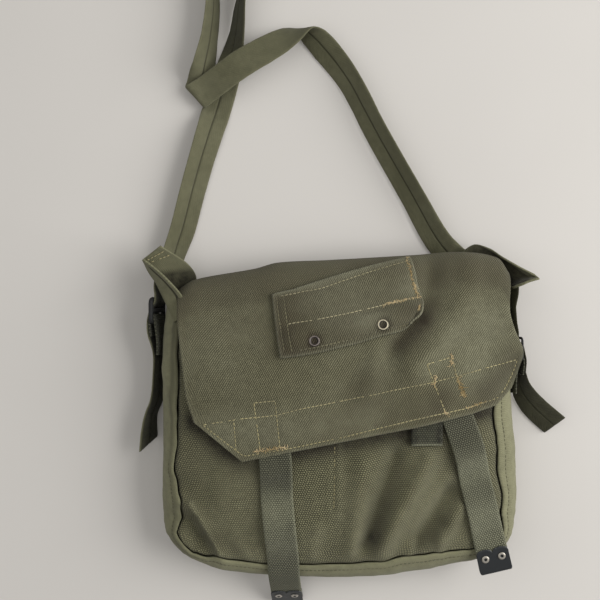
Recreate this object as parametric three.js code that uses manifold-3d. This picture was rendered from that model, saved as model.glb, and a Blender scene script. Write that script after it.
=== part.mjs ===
// A canvas gas mask bag lying on its back, with its flap closed and its shoulder strap laid out.
// Millimetres, +Z up. X runs across the bag and Y from its bottom to its top.
// The origin lies on the floor, under the middle of the flat back panel.

import * as THREE from "three";
import { mergeVertices } from "three/addons/utils/BufferGeometryUtils.js";
import Module from "manifold-3d";

const wasm = await Module();
wasm.setup();

// Driving dimensions: cloth, webbing and the clearances between sewn pieces
const CANVAS = 1.8;
const FLAP_CANVAS = 2.0;
const POCKET_CANVAS = 2.8;
const EAR_CANVAS = 1.6;
const WEBBING = 1.8;
const TAB_WEBBING = 1.4;
const STRAP_CANVAS = 1.6;
const WEBBING_WIDTH = 26;
const STRAP_WIDTH = 25;
const TAB_WIDTH = 25;
const SEAM_GAP = 1.0;
const LAY_GAP = 0.45;
const POCKET_GAP = 0.95;
const HEAD_GAP = 0.3;

// The body: where its seams lie and how the cloth bulges
const HALF_WIDTH = 138;
const CROWN_POWER = 2.5;
const BACK_INSET = 14;
const BACK_SEAM_Z = 1.1;
const GUSSET_SWEEP = THREE.MathUtils.degToRad(75);
const SEAM_GROOVE = 1.2;
const GROOVE_REACH = 6;
const SIDE_ROWS = 18;
const BOTTOM_COLUMNS = 24;
const GUSSET_STEPS = 4;

// The flap: how high it lies over the front and how it rolls over the mouth
const FLAP_LIFT = 5.4;
const ROLL_DEPTH = 24;
const ROLL_UNDERSIDE = 14;
const ROLL_DROP = 3;
const ROLL_SHARE = 0.3;
const FLAP_COLUMNS = 26;
const FLAP_ROWS = 20;

// Metal pieces
const ROUND_SIDES = 10;
const DRILL_LENGTH = 20;
const TIP = { width: 27, length: 17.5, lobe: 4.2, plate: 0.9, slot: 2.6, fold: 1.2 };
const RIVET = { bore: 1.0, shank: 1.75, head: 3.5, headHeight: 0.8, hole: 2.1, apart: 14, fromEnd: 13.6 };
const EYELET = { bore: 2.5, shank: 2.9, head: 4.7, hole: 3.25, headHeight: 0.9 };
const BUCKLE = { slotWidth: 27, length: 21, bar: 2.2, thickness: 2.0, corner: 3, z: 20 };

function table(columns, rows) {
  return rows.map((row) => Object.fromEntries(columns.map((name, i) => [name, row[i]])));
}

// Widest line of the body seen from above, from the top of the left side round to the top of the right
// side. inset is how far the front seam lies inside that line.
const GIRTH = table(["x", "y", "inset"], [
  [-150, 98, 14],
  [-152.5, 70, 15],
  [-153, 0, 14.5],
  [-153, -45, 12],
  [-152.5, -75, 17],
  [-149, -99, 11],
  [-131, -118, 8],
  [-100, -129.5, 13],
  [-35, -135, 12.5],
  [10, -135.5, 14],
  [55, -131.5, 17],
  [95, -124, 14],
  [125, -117, 13],
  [145, -103, 11],
  [150, -80, 14],
  [150, -28, 18],
  [146, 20, 18],
  [146, 80, 15],
  [145, 114, 14],
]);
const LEFT_CORNER = 5.5 / (GIRTH.length - 1);
const RIGHT_CORNER = 13 / (GIRTH.length - 1);

// Height of the front along its seams and along its middle
const PROFILE = table(["y", "edge", "crown"], [
  [-130, 34, 36],
  [-112, 39, 45],
  [-70, 43, 54],
  [-20, 45, 57],
  [40, 45, 55],
  [85, 43, 49],
  [115, 41, 45],
  [150, 38, 40],
]);

// Ridges (up) and valleys (down) of the front panel, each along a line
const FOLD_COLUMNS = ["x0", "y0", "x1", "y1", "width", "height"];
const FRONT_FOLDS = table(FOLD_COLUMNS, [
  [-127, -84, -118, -100, 11, -6],
  [-138, -62, -122, -78, 6, 3],
  [-122, -78, -99, -113, 6, 4],
  [63, -34, 38, -66, 9, -5],
  [38, -66, 28, -100, 10, -4.5],
  [80, -52, 50, -106, 9, 4],
  [95, -53, 76, -98, 8, -4],
  [27, -32, 9, -104, 9, 3.5],
]);

// The webbing tab on the front, and the flap riding up over it
const CLOSURE_TAB = { x: 70, top: 3, bottom: -17 };
const FLAP_FOLDS = table(FOLD_COLUMNS, [
  [CLOSURE_TAB.x, 4, CLOSURE_TAB.x, -10, 24, 3.6],
]);

// The flap seen from above: its rolled top, its two side edges and its hem with cut-off corners
const FLAP_CREST = table(["x", "y"], [
  [-138.5, 112],
  [-126, 119.5],
  [-73, 129],
  [-54, 134],
  [-9, 136.3],
  [60, 140.3],
  [104, 143.2],
  [136, 138.5],
  [144, 128],
]);
const FLAP_LEFT = table(["x", "y"], [
  [-137.8, 88],
  [-136, 70],
  [-133.4, 49.6],
  [-129.5, 20],
  [-123, 1],
]);
const FLAP_RIGHT = table(["x", "y"], [
  [141.2, 104],
  [141, 93],
  [145, 78],
  [152, 62],
  [152, 56],
]);
const FLAP_HEM = table(["column", "x", "y"], [
  [0, -123, 1],
  [4, -83, -30.5],
  [8, -43.5, -22.2],
  [13, 6, -12.3],
  [18, 58, -2],
  [22, 108, 9],
  [24, 129, 16],
  [25, 142, 30],
  [26, 152, 56],
]);

// The patch pocket's corners on the flap, as shares of the flap's columns and rows
const POCKET = {
  topLeft: [0.287, 0.315],
  topRight: [0.697, 0.212],
  bottomLeft: [0.308, 0.609],
  bottomRight: [0.737, 0.524],
  columns: 12,
  rows: 6,
};
const EYELETS = table(["name", "across", "down"], [
  ["eyelet_left", 0.25, 0.86],
  ["eyelet_right", 0.74, 0.86],
]);

// Closing straps: where they lie on the front, then where they hang over the bottom edge
const CLOSING_STRAPS = [
  {
    side: "left",
    lying: table(["x", "y"], [
      [-64, 16],
      [-55.7, -25],
      [-54.1, -63],
      [-50.9, -97.6],
      [-49.2, -117],
    ]),
    hanging: table(["x", "y", "z"], [
      [-48.6, -130, 39.5],
      [-47.8, -140.5, 29],
      [-47, -150.5, 18],
      [-46, -162, 4.8],
    ]),
  },
  {
    side: "right",
    lying: table(["x", "y"], [
      [79, 52],
      [92, 15.5],
      [95.7, 6.4],
      [105.4, -21.2],
      [112.6, -53],
      [119.5, -80.5],
    ]),
    hanging: table(["x", "y", "z"], [
      [125.3, -104.3, 46.7],
      [127.9, -114.4, 45.4],
      [130.4, -124.5, 44.1],
    ]),
  },
];
const STRAP_STEPS = 30;
const TAB_STEPS = 24;

// The free upper ends of the gusset: three edges, each from the mouth to the tip
const EAR_COLUMNS = 6;
const EAR_ROWS = 8;
const RAIL_COLUMNS = ["x", "y", "z"];
const EARS = [
  {
    name: "gusset_ear_left",
    back: table(RAIL_COLUMNS, [
      [-145, 98.8, 12], [-142.5, 112, 13], [-131, 124.5, 18], [-135, 138, 33], [-152.7, 148, 44],
    ]),
    fold: table(RAIL_COLUMNS, [
      [-150, 98.8, 22], [-154.5, 105, 27], [-160, 117, 32], [-165.5, 128, 35], [-169.3, 137, 36],
    ]),
    front: table(RAIL_COLUMNS, [
      [-141.5, 98.8, 40], [-142, 107, 44.5], [-147, 118, 48], [-155, 128.5, 50], [-166.5, 137, 50],
    ]),
  },
  {
    name: "gusset_ear_right",
    back: table(RAIL_COLUMNS, [
      [146.5, 114.8, 13], [148.5, 128, 17], [134, 146.5, 18], [149, 134, 28], [164, 124, 38],
    ]),
    fold: table(RAIL_COLUMNS, [
      [146.5, 114.8, 22], [149.5, 117.5, 26], [155, 120.5, 29], [162, 121.5, 33], [168.5, 121, 38],
    ]),
    front: table(RAIL_COLUMNS, [
      [146.3, 114.3, 33], [146.6, 113.6, 41], [150.5, 115.4, 46], [157, 118.4, 48], [165.5, 121, 48],
    ]),
  },
];

// The slides that hold the shoulder strap, one on each side of the body
const SIDES = [
  { side: "left", out: -1, x: -159.4, y: 94, lean: 12 },
  { side: "right", out: 1, x: 153, y: 61, lean: 8 },
];
const CHAPE = { tail: -38, seat: 4.8, wrap: 2.4, end: -22 };

// The strap's way through a slide: along the body, and out from the slide's middle plane
const SLIDE_RUN = table(["along", "out"], [
  [-20, 3.8],
  [-10, 4.4],
  [-4, 3.3],
  [0.4, 2.3],
  [2.8, 1.6],
  [4.7, 0],
  [6.6, -1.6],
  [9, -2.5],
  [14, -2.6],
]);

// The shoulder strap's route. lift is the height of its lower edge over the floor, and azimuth and
// elevation turn the direction across it.
const ROUTE_COLUMNS = ["x", "y", "lift", "azimuth", "elevation"];
const LEFT_TAIL = table(ROUTE_COLUMNS, [
  [-169, -30, 0.5, 166, 64],
  [-167.6, -14, 0.5, 168, 64],
  [-166, 2, 0.5, 172, 73],
  [-160.6, 17, 0.6, 176, 72],
  [-158.4, 40, 0.9, 180, 72],
  [-158.8, 58, 3.4, 180, 76],
]);
const STRAP_LOOP = table(ROUTE_COLUMNS, [
  [-157, 117, 3.5, 165, 58],
  [-151, 130, 1.1, 163, 50],
  [-145, 147, 0.5, 163, 44],
  [-139, 165, 0.5, 165, 37],
  [-130.8, 197, 0.5, 166, 36],
  [-122.2, 228, 0.7, 164, 34],
  [-113.5, 257, 0.7, 163, 24],
  [-109.5, 271, 0.7, 163, 2],
  [-104, 290, 0.6, 163, 0],
  [-100, 303, 0.5, 163, -12],
  [-95, 320, 0.5, 163, -36],
  [-90.5, 340, 0.5, 166, -54],
  [-88, 362, 0.5, 170, -64],
  [-84, 386, 0.6, 173, -76],
  [-83, 406, 0.7, 190, -84],
  [-91, 422, 0.8, 230, -86],
  [-104, 424, 0.8, 310, -86],
  [-113, 410, 0.7, 350, -84],
  [-113.5, 390, 0.6, 360, -78],
  [-111.5, 367, 0.6, 364, -68],
  [-114.6, 334, 0.5, 352, -62],
  [-119.5, 308, 3, 344, -46],
  [-123.5, 292, 3, 332, -8],
  [-127.4, 283, 4.2, 316, -6],
  [-126.6, 282.2, 9, 308, -5],
  [-119, 286.8, 11.6, 298, 0],
  [-107.5, 294.3, 14.5, 300, 4],
  [-87, 308, 19.5, 300, 4],
  [-67, 320, 17.5, 303, 8],
  [-53, 328.5, 13.5, 306, 18],
  [-42.5, 335.5, 8, 314, 34],
  [-32, 341.5, 1.6, 350, 50],
  [-22.5, 335, 0.9, 24, 38],
  [-12.5, 324.5, 0.7, 33, 30],
  [0.5, 308, 0.6, 33, 38],
  [10.4, 293, 0.6, 31, 44],
  [32.8, 250.6, 0.5, 28, 44],
  [64, 195.6, 0.5, 29, 42],
  [89.5, 152.3, 0.5, 32, 32],
  [112, 133, 0.6, 52, 0],
  [132, 132, 0.7, 66, 3],
  [145, 123, 0.6, 45, 20],
  [149, 111, 0.8, 15, 62],
  [149.3, 97, 1.5, 4, 80],
  [150, 84, 3.4, 0, 81],
]);
const RIGHT_TAIL = table(ROUTE_COLUMNS, [
  [158, 31, 3.2, 6, 66],
  [162.5, 20.5, 0.9, 30, 50],
  [170.5, 10, 0.6, 42, 38],
  [180, 1, 0.5, 45, 34],
  [190, -7.5, 0.5, 46, 33],
]);
const ROUTE_STEPS_PER_POINT = 2;

// Small tools for curves and solids
const mix = THREE.MathUtils.lerp;

function vector(row) {
  return new THREE.Vector3(row.x, row.y, row.z ?? 0);
}

function smoothCurve(points) {
  return new THREE.CatmullRomCurve3(points, false, "centripetal");
}

// Cubic curve through a table's rows, read as column over key
function follow(rows, key, column, at) {
  const last = rows.length - 1;
  const t = THREE.MathUtils.clamp(at, rows[0][key], rows[last][key]);
  const i = Math.max(0, rows.findLastIndex((row, n) => n < last && row[key] <= t));
  const slope = (n) => {
    const before = rows[Math.max(n - 1, 0)];
    const after = rows[Math.min(n + 1, last)];
    return (after[column] - before[column]) / (after[key] - before[key]);
  };
  const span = rows[i + 1][key] - rows[i][key];
  const s = (t - rows[i][key]) / span;
  const bend = s * s * (3 - 2 * s);
  const pull = span * s * (1 - s) * (slope(i) * (1 - s) - slope(i + 1) * s);
  return mix(rows[i][column], rows[i + 1][column], bend) + pull;
}

// Straight lines through a table's rows
function straight(rows, key, column, at) {
  const i = Math.max(0, rows.findLastIndex((row, n) => n < rows.length - 1 && row[key] <= at));
  const s = (at - rows[i][key]) / (rows[i + 1][key] - rows[i][key]);
  return mix(rows[i][column], rows[i + 1][column], s);
}

function signedVolume(positions, index) {
  const corner = (n) => new THREE.Vector3().fromArray(positions, 3 * index[n]);
  let volume = 0;
  for (let n = 0; n < index.length; n += 3) {
    volume += corner(n).dot(corner(n + 1).cross(corner(n + 2)));
  }
  return volume / 6;
}

function closedGeometry(points, index) {
  const positions = points.flatMap((p) => [p.x, p.y, p.z]);
  const facesOut = signedVolume(positions, index) > 0;
  const geometry = new THREE.BufferGeometry();
  geometry.setAttribute("position", new THREE.Float32BufferAttribute(positions, 3));
  geometry.setIndex(facesOut ? index : index.toReversed());
  return geometry;
}

// A sheet of cloth as a closed solid: surface(u, v) is its middle, and half a thickness goes to each side
function clothGeometry(surface, columns, rows, thickness) {
  const grid = [];
  for (let j = 0; j <= rows; j += 1) {
    for (let i = 0; i <= columns; i += 1) {
      grid.push(surface(i / columns, j / rows));
    }
  }
  const width = columns + 1;
  const at = (i, j) => grid[j * width + i];
  const sides = [[], []];
  for (let j = 0; j <= rows; j += 1) {
    for (let i = 0; i <= columns; i += 1) {
      const along = at(Math.min(i + 1, columns), j).clone().sub(at(Math.max(i - 1, 0), j));
      const down = at(i, Math.min(j + 1, rows)).clone().sub(at(i, Math.max(j - 1, 0)));
      const normal = along.cross(down).normalize();
      sides[0].push(at(i, j).clone().addScaledVector(normal, thickness / 2));
      sides[1].push(at(i, j).clone().addScaledVector(normal, -thickness / 2));
    }
  }
  const under = grid.length;
  const index = [];
  const quad = (a, b, c, d) => index.push(a, b, c, a, c, d);
  for (let j = 0; j < rows; j += 1) {
    for (let i = 0; i < columns; i += 1) {
      const n = j * width + i;
      quad(n, n + 1, n + width + 1, n + width);
      quad(under + n + width, under + n + width + 1, under + n + 1, under + n);
    }
  }
  const rim = [];
  for (let i = 0; i < columns; i += 1) rim.push(i);
  for (let j = 0; j < rows; j += 1) rim.push(j * width + columns);
  for (let i = columns; i > 0; i -= 1) rim.push(rows * width + i);
  for (let j = rows; j > 0; j -= 1) rim.push(j * width);
  rim.forEach((n, k) => {
    const next = rim[(k + 1) % rim.length];
    quad(n, under + n, under + next, next);
  });
  return closedGeometry([...sides[0], ...sides[1]], index);
}

// A flat strap as a closed solid, through stations that each have a place and a direction across. Its
// two faces are split along the same diagonals, so that a twisted stretch keeps its thickness.
function strapGeometry(stations, width, thickness) {
  const last = stations.length - 1;
  const points = stations.flatMap(({ place, across }, n) => {
    const ahead = stations[Math.min(n + 1, last)].place;
    const behind = stations[Math.max(n - 1, 0)].place;
    const normal = across.clone().cross(ahead.clone().sub(behind)).normalize();
    return [[1, 1], [-1, 1], [-1, -1], [1, -1]].map(([side, face]) => place.clone()
      .addScaledVector(across, (side * width) / 2)
      .addScaledVector(normal, (face * thickness) / 2));
  });
  const index = [0, 1, 2, 0, 2, 3];
  for (let n = 0; n < last; n += 1) {
    for (let k = 0; k < 4; k += 1) {
      const a = 4 * n + k;
      const b = 4 * n + ((k + 1) % 4);
      const [p, q, r, s] = k < 2 ? [a, a + 4, b + 4, b] : [a + 4, b + 4, b, a];
      index.push(p, q, r, p, r, s);
    }
  }
  const end = 4 * last;
  index.push(end + 2, end + 1, end, end + 3, end + 2, end);
  return closedGeometry(points, index);
}

// Stations on smooth curves through a few given ones
function smoothStations(stations, steps) {
  const places = smoothCurve(stations.map(({ place }) => place));
  const last = stations.length - 1;
  return Array.from({ length: steps + 1 }, (_, n) => {
    const t = n / steps;
    const i = Math.min(Math.floor(t * last), last - 1);
    const across = stations[i].across.clone().lerp(stations[i + 1].across, t * last - i).normalize();
    return { place: places.getPoint(t), across };
  });
}

function solidOf(geometry) {
  const bare = geometry.clone();
  bare.deleteAttribute("normal");
  bare.deleteAttribute("uv");
  const merged = mergeVertices(bare, 1e-4);
  return new wasm.Manifold(new wasm.Mesh({
    numProp: 3,
    vertProperties: Float32Array.from(merged.getAttribute("position").array),
    triVerts: Uint32Array.from(merged.getIndex().array),
  }));
}

function cutAway(geometry, cutters) {
  const cut = cutters.reduce((solid, cutter) => solid.subtract(solidOf(cutter)), solidOf(geometry));
  const mesh = cut.getMesh();
  const result = new THREE.BufferGeometry();
  result.setAttribute("position", new THREE.BufferAttribute(mesh.vertProperties, 3));
  result.setIndex(Array.from(mesh.triVerts));
  return result;
}

// A frame whose Z is the given normal, with Y as near as it can be to along
function frameAt(place, normal, along) {
  const z = normal.clone().normalize();
  const x = along.clone().cross(z).normalize();
  const y = z.clone().cross(x);
  return new THREE.Matrix4().makeBasis(x, y, z).setPosition(place);
}

function holeAlongZ(radius, matrix) {
  const drill = new THREE.CylinderGeometry(radius, radius, DRILL_LENGTH, ROUND_SIDES);
  return drill.rotateX(Math.PI / 2).applyMatrix4(matrix);
}

function latheAlongZ(profile, matrix) {
  const points = [...profile, profile[0]].map(([radius, z]) => new THREE.Vector2(radius, z));
  return new THREE.LatheGeometry(points, ROUND_SIDES).rotateX(Math.PI / 2).applyMatrix4(matrix);
}

// Form of the body
const girthCurve = smoothCurve(GIRTH.map((row) => new THREE.Vector3(row.x, row.y, row.inset)));

function girthAt(t) {
  const { x, y, z: inset } = girthCurve.getPoint(t);
  const heading = girthCurve.getTangent(t);
  const outward = new THREE.Vector2(heading.y, -heading.x).normalize();
  return { x, y, inset, outward };
}

// A point of the body's outline, moved in from its widest line
function insetPoint(t, inset) {
  const { x, y, outward } = girthAt(t);
  return new THREE.Vector2(x, y).addScaledVector(outward, -inset);
}

function bodyHeight(x, y) {
  const edge = follow(PROFILE, "y", "edge", y);
  const crown = follow(PROFILE, "y", "crown", y);
  return edge + (crown - edge) * (1 - Math.abs(x / HALF_WIDTH) ** CROWN_POWER);
}

function foldHeight(folds, x, y) {
  const point = new THREE.Vector3(x, y, 0);
  const nearest = new THREE.Vector3();
  return folds.reduce((sum, { x0, y0, x1, y1, width, height }) => {
    const line = new THREE.Line3(new THREE.Vector3(x0, y0, 0), new THREE.Vector3(x1, y1, 0));
    const away = line.closestPointToPoint(point, true, nearest).distanceTo(point);
    return sum + height * Math.exp(-((away / width) ** 2));
  }, 0);
}

function frontHeight(x, y) {
  return bodyHeight(x, y) + foldHeight(FRONT_FOLDS, x, y);
}

// A panel of the body: its left, bottom and right edges follow the outline, its top edge is straight
function panelPoint(u, v, insetOf) {
  const edge = (t) => insetPoint(t, insetOf(t));
  const left = edge(LEFT_CORNER * v);
  const right = edge(1 - (1 - RIGHT_CORNER) * v);
  const bottom = edge(mix(LEFT_CORNER, RIGHT_CORNER, u));
  const top = edge(0).lerp(edge(1), u);
  const chord = edge(LEFT_CORNER).lerp(edge(RIGHT_CORNER), u);
  const corners = top.clone().lerp(chord, v);
  return top.lerp(bottom, v).add(left.lerp(right, u)).sub(corners);
}

// The flat back: the outline at its seam, with a straight top edge
function backPanelGeometry() {
  const steps = 2 * SIDE_ROWS + BOTTOM_COLUMNS;
  const edge = Array.from({ length: steps + 1 }, (_, n) => (
    insetPoint(gussetStation(n / steps), BACK_INSET + SEAM_GAP)));
  return new THREE.ExtrudeGeometry(new THREE.Shape(edge), { depth: CANVAS, bevelEnabled: false });
}

function frontPanelGeometry() {
  const surface = (u, v) => {
    const { x, y } = panelPoint(u, v, (t) => girthAt(t).inset + SEAM_GAP);
    const fromSeam = 2 * HALF_WIDTH * Math.min(u, 1 - u, 1 - v);
    const groove = SEAM_GROOVE * Math.exp(-fromSeam / GROOVE_REACH);
    return new THREE.Vector3(x, y, frontHeight(x, y) - groove);
  };
  return clothGeometry(surface, BOTTOM_COLUMNS, SIDE_ROWS, CANVAS);
}

// The gusset's stations lie where the panels' edge points lie, so that the seams keep an even gap
function gussetStation(u) {
  const step = u * (2 * SIDE_ROWS + BOTTOM_COLUMNS);
  if (step <= SIDE_ROWS) return (LEFT_CORNER * step) / SIDE_ROWS;
  const across = step - SIDE_ROWS;
  if (across <= BOTTOM_COLUMNS) {
    return mix(LEFT_CORNER, RIGHT_CORNER, across / BOTTOM_COLUMNS);
  }
  return mix(RIGHT_CORNER, 1, (across - BOTTOM_COLUMNS) / SIDE_ROWS);
}

function gussetGeometry() {
  const surface = (u, v) => {
    const t = gussetStation(u);
    const { inset } = girthAt(t);
    const seam = insetPoint(t, inset);
    const frontZ = frontHeight(seam.x, seam.y);
    const angle = mix(-GUSSET_SWEEP, GUSSET_SWEEP, v);
    const reach = (1 - Math.cos(angle)) / (1 - Math.cos(GUSSET_SWEEP));
    const place = insetPoint(t, reach * (v < 0.5 ? BACK_INSET : inset));
    const rise = (1 + Math.sin(angle) / Math.sin(GUSSET_SWEEP)) / 2;
    return new THREE.Vector3(place.x, place.y, mix(BACK_SEAM_Z, frontZ, rise));
  };
  return clothGeometry(surface, 2 * SIDE_ROWS + BOTTOM_COLUMNS, GUSSET_STEPS, CANVAS);
}

function earGeometry({ back, fold, front }) {
  const [backRail, foldRail, frontRail] = [back, fold, front].map((rail) => smoothCurve(rail.map(vector)));
  const surface = (u, v) => {
    const start = backRail.getPoint(v);
    const end = frontRail.getPoint(v);
    const middle = foldRail.getPoint(v).multiplyScalar(2)
      .sub(start.clone().add(end).multiplyScalar(0.5));
    return new THREE.QuadraticBezierCurve3(start, middle, end).getPoint(u);
  };
  return clothGeometry(surface, EAR_COLUMNS, EAR_ROWS, EAR_CANVAS);
}

// Form of the flap
function flapHeight(x, y) {
  return bodyHeight(x, y) + FLAP_LIFT + foldHeight(FLAP_FOLDS, x, y);
}

function flapTop(u) {
  const x = mix(FLAP_LEFT[0].x, FLAP_RIGHT[0].x, u);
  const crestX = mix(FLAP_CREST[0].x, FLAP_CREST.at(-1).x, u);
  return new THREE.Vector2(x, follow(FLAP_CREST, "x", "y", crestX) - ROLL_DEPTH);
}

function flapFront(u, v) {
  const side = (rows) => smoothCurve(rows.map(vector)).getPoint(v);
  const hem = (column) => straight(FLAP_HEM, "column", column, u * FLAP_COLUMNS);
  const top = flapTop(u);
  const left = side(FLAP_LEFT);
  const right = side(FLAP_RIGHT);
  const place = (axis) => {
    const corner = (rows, n) => rows.at(n)[axis];
    const upper = mix(flapTop(0)[axis], flapTop(1)[axis], u);
    const lower = mix(corner(FLAP_LEFT, -1), corner(FLAP_RIGHT, -1), u);
    return mix(top[axis], hem(axis), v) + mix(left[axis], right[axis], u) - mix(upper, lower, v);
  };
  const x = place("x");
  const y = place("y");
  return new THREE.Vector3(x, y, flapHeight(x, y));
}

// The roll over the mouth, from the back panel's top edge to the flap's first row on the front
function flapRoll(u, v) {
  const seam = insetPoint(0, BACK_INSET + SEAM_GAP).lerp(insetPoint(1, BACK_INSET + SEAM_GAP), u);
  const start = new THREE.Vector3(seam.x, seam.y + SEAM_GAP, FLAP_CANVAS / 2);
  const end = flapFront(u, 0);
  const crestX = mix(FLAP_CREST[0].x, FLAP_CREST.at(-1).x, u);
  const crestY = follow(FLAP_CREST, "x", "y", crestX);
  const pullY = (8 * crestY - start.y - end.y) / 6;
  const low = new THREE.Vector3(crestX, pullY, ROLL_UNDERSIDE);
  const high = new THREE.Vector3(crestX, pullY, end.z - ROLL_DROP);
  return new THREE.CubicBezierCurve3(start, low, high, end).getPoint(v);
}

function flapPoint(u, v) {
  return v < ROLL_SHARE ? flapRoll(u, v / ROLL_SHARE) : flapFront(u, (v - ROLL_SHARE) / (1 - ROLL_SHARE));
}

function flapNormal(u, v) {
  const step = 0.01;
  const across = flapPoint(u + step, v).sub(flapPoint(u - step, v));
  const down = flapPoint(u, v - step).sub(flapPoint(u, v + step));
  return across.cross(down).normalize();
}

function flapGeometry() {
  return clothGeometry(flapPoint, FLAP_COLUMNS, FLAP_ROWS, FLAP_CANVAS);
}

// A place on the patch pocket's middle, and the way it faces
function pocketPlace(u, v) {
  const [across, down] = [0, 1].map((n) => mix(
    mix(POCKET.topLeft[n], POCKET.topRight[n], u),
    mix(POCKET.bottomLeft[n], POCKET.bottomRight[n], u),
    v,
  ));
  const normal = flapNormal(across, down);
  const lift = FLAP_CANVAS / 2 + POCKET_GAP + POCKET_CANVAS / 2;
  return { place: flapPoint(across, down).addScaledVector(normal, lift), normal };
}

function eyeletFrame({ across, down }) {
  const { place, normal } = pocketPlace(across, down);
  return frameAt(place, normal, new THREE.Vector3(0, 1, 0));
}

function pocketGeometry() {
  const sheet = clothGeometry((u, v) => pocketPlace(u, v).place, POCKET.columns, POCKET.rows, POCKET_CANVAS);
  return cutAway(sheet, EYELETS.map((row) => holeAlongZ(EYELET.hole, eyeletFrame(row))));
}

function eyeletGeometry(row) {
  const { bore, shank, head, headHeight } = EYELET;
  const seat = POCKET_CANVAS / 2 + LAY_GAP;
  const profile = [
    [bore, -POCKET_CANVAS / 2], [shank, -POCKET_CANVAS / 2], [shank, seat], [head, seat],
    [head - 0.4, seat + 0.6 * headHeight], [(bore + head) / 2, seat + headHeight],
    [bore, seat + 0.6 * headHeight],
  ];
  return latheAlongZ(profile, eyeletFrame(row));
}

// Closing straps, their metal tips and rivets
function layOnFront(x, y, halfWidth, lift) {
  const slope = (bodyHeight(x + halfWidth, y) - bodyHeight(x - halfWidth, y)) / (2 * halfWidth);
  return {
    place: new THREE.Vector3(x, y, frontHeight(x, y) + lift),
    across: new THREE.Vector3(1, 0, slope).normalize(),
  };
}

function closingStations({ lying, hanging }) {
  const lift = CANVAS / 2 + LAY_GAP + WEBBING / 2;
  const given = [
    ...lying.map(({ x, y }) => layOnFront(x, y, WEBBING_WIDTH / 2, lift)),
    ...hanging.map((row) => ({ place: vector(row), across: new THREE.Vector3(1, 0, 0) })),
  ];
  given.forEach((station, n) => {
    const ahead = given[Math.min(n + 1, given.length - 1)].place;
    const behind = given[Math.max(n - 1, 0)].place;
    const along = ahead.clone().sub(behind).normalize();
    station.across.addScaledVector(along, -station.across.dot(along)).normalize();
  });
  const tipAcross = given.at(-1).across;
  given.slice(lying.length).forEach((station) => station.across.copy(tipAcross));
  return smoothStations(given, STRAP_STEPS);
}

// The strap's end: Y points back up the strap, and Z out of the face that shows
function strapEndFrame(strap) {
  const stations = closingStations(strap);
  const end = stations.at(-1);
  const up = stations.at(-5).place.clone().sub(end.place).normalize();
  return frameAt(end.place, end.across.clone().cross(up), up);
}

function rivetFrames(strap) {
  return [-1, 1].map((side) => {
    const up = RIVET.fromEnd - TIP.fold - LAY_GAP;
    const offset = new THREE.Matrix4().makeTranslation((side * RIVET.apart) / 2, up, 0);
    return strapEndFrame(strap).multiply(offset);
  });
}

function rivetHoles(strap) {
  return rivetFrames(strap).map((matrix) => holeAlongZ(RIVET.hole, matrix));
}

function closingStrapGeometry(strap) {
  return cutAway(strapGeometry(closingStations(strap), WEBBING_WIDTH, WEBBING), rivetHoles(strap));
}

function strapTipGeometry(strap) {
  const { width, length, lobe, plate, slot, fold } = TIP;
  const outline = new THREE.Shape();
  outline.moveTo(-width / 2, 1);
  outline.lineTo(-width / 2 + 1, 0);
  outline.lineTo(width / 2 - 1, 0);
  outline.lineTo(width / 2, 1);
  outline.lineTo(width / 2, length);
  outline.absellipse(width / 4, length, width / 4, lobe, 0, Math.PI);
  outline.absellipse(-width / 4, length, width / 4, lobe, 0, Math.PI);
  outline.closePath();
  const depth = slot + 2 * plate;
  const block = new THREE.ExtrudeGeometry(outline, { depth, bevelEnabled: false, curveSegments: 5 });
  const opening = new THREE.BoxGeometry(2 * width, length + 2 * lobe, slot);
  opening.translate(0, fold + length / 2 + lobe, depth / 2);
  const offset = new THREE.Matrix4().makeTranslation(0, -fold - LAY_GAP, -depth / 2);
  const place = strapEndFrame(strap).multiply(offset);
  return cutAway(block.applyMatrix4(place), [opening.applyMatrix4(place), ...rivetHoles(strap)]);
}

function rivetGeometry(matrix) {
  const { bore, shank, head, headHeight } = RIVET;
  const seat = TIP.slot / 2 + TIP.plate + HEAD_GAP;
  const top = seat + headHeight;
  const profile = [
    [bore, -top], [head, -top], [head, -seat], [shank, -seat],
    [shank, seat], [head, seat], [head - 0.6, top], [bore, top],
  ];
  return latheAlongZ(profile, matrix);
}

// Doubled webbing tab on the front: lower layer, fold, upper layer
function closureTabGeometry() {
  const { x, top, bottom } = CLOSURE_TAB;
  const lower = CANVAS / 2 + LAY_GAP + TAB_WEBBING / 2;
  const upper = lower + TAB_WEBBING + 2 * LAY_GAP;
  const rows = table(["y", "lift"], [
    [top, lower], [(top + bottom) / 2, lower], [bottom + 2, lower], [bottom, (lower + upper) / 2],
    [bottom + 2, upper], [(top + bottom) / 2, upper], [top, upper],
  ]);
  const stations = rows.map(({ y, lift }) => layOnFront(x, y, TAB_WIDTH / 2, lift));
  return strapGeometry(smoothStations(stations, TAB_STEPS), TAB_WIDTH, TAB_WEBBING);
}

// Slides at the sides, the tabs that carry them, and the shoulder strap through them
function sideStation({ out, x, y, lean }, along, away) {
  const turn = THREE.MathUtils.degToRad(lean);
  return {
    place: new THREE.Vector3(x + out * away * Math.cos(turn), y + along, BUCKLE.z - away * Math.sin(turn)),
    across: new THREE.Vector3(out * Math.sin(turn), 0, Math.cos(turn)),
  };
}

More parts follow.
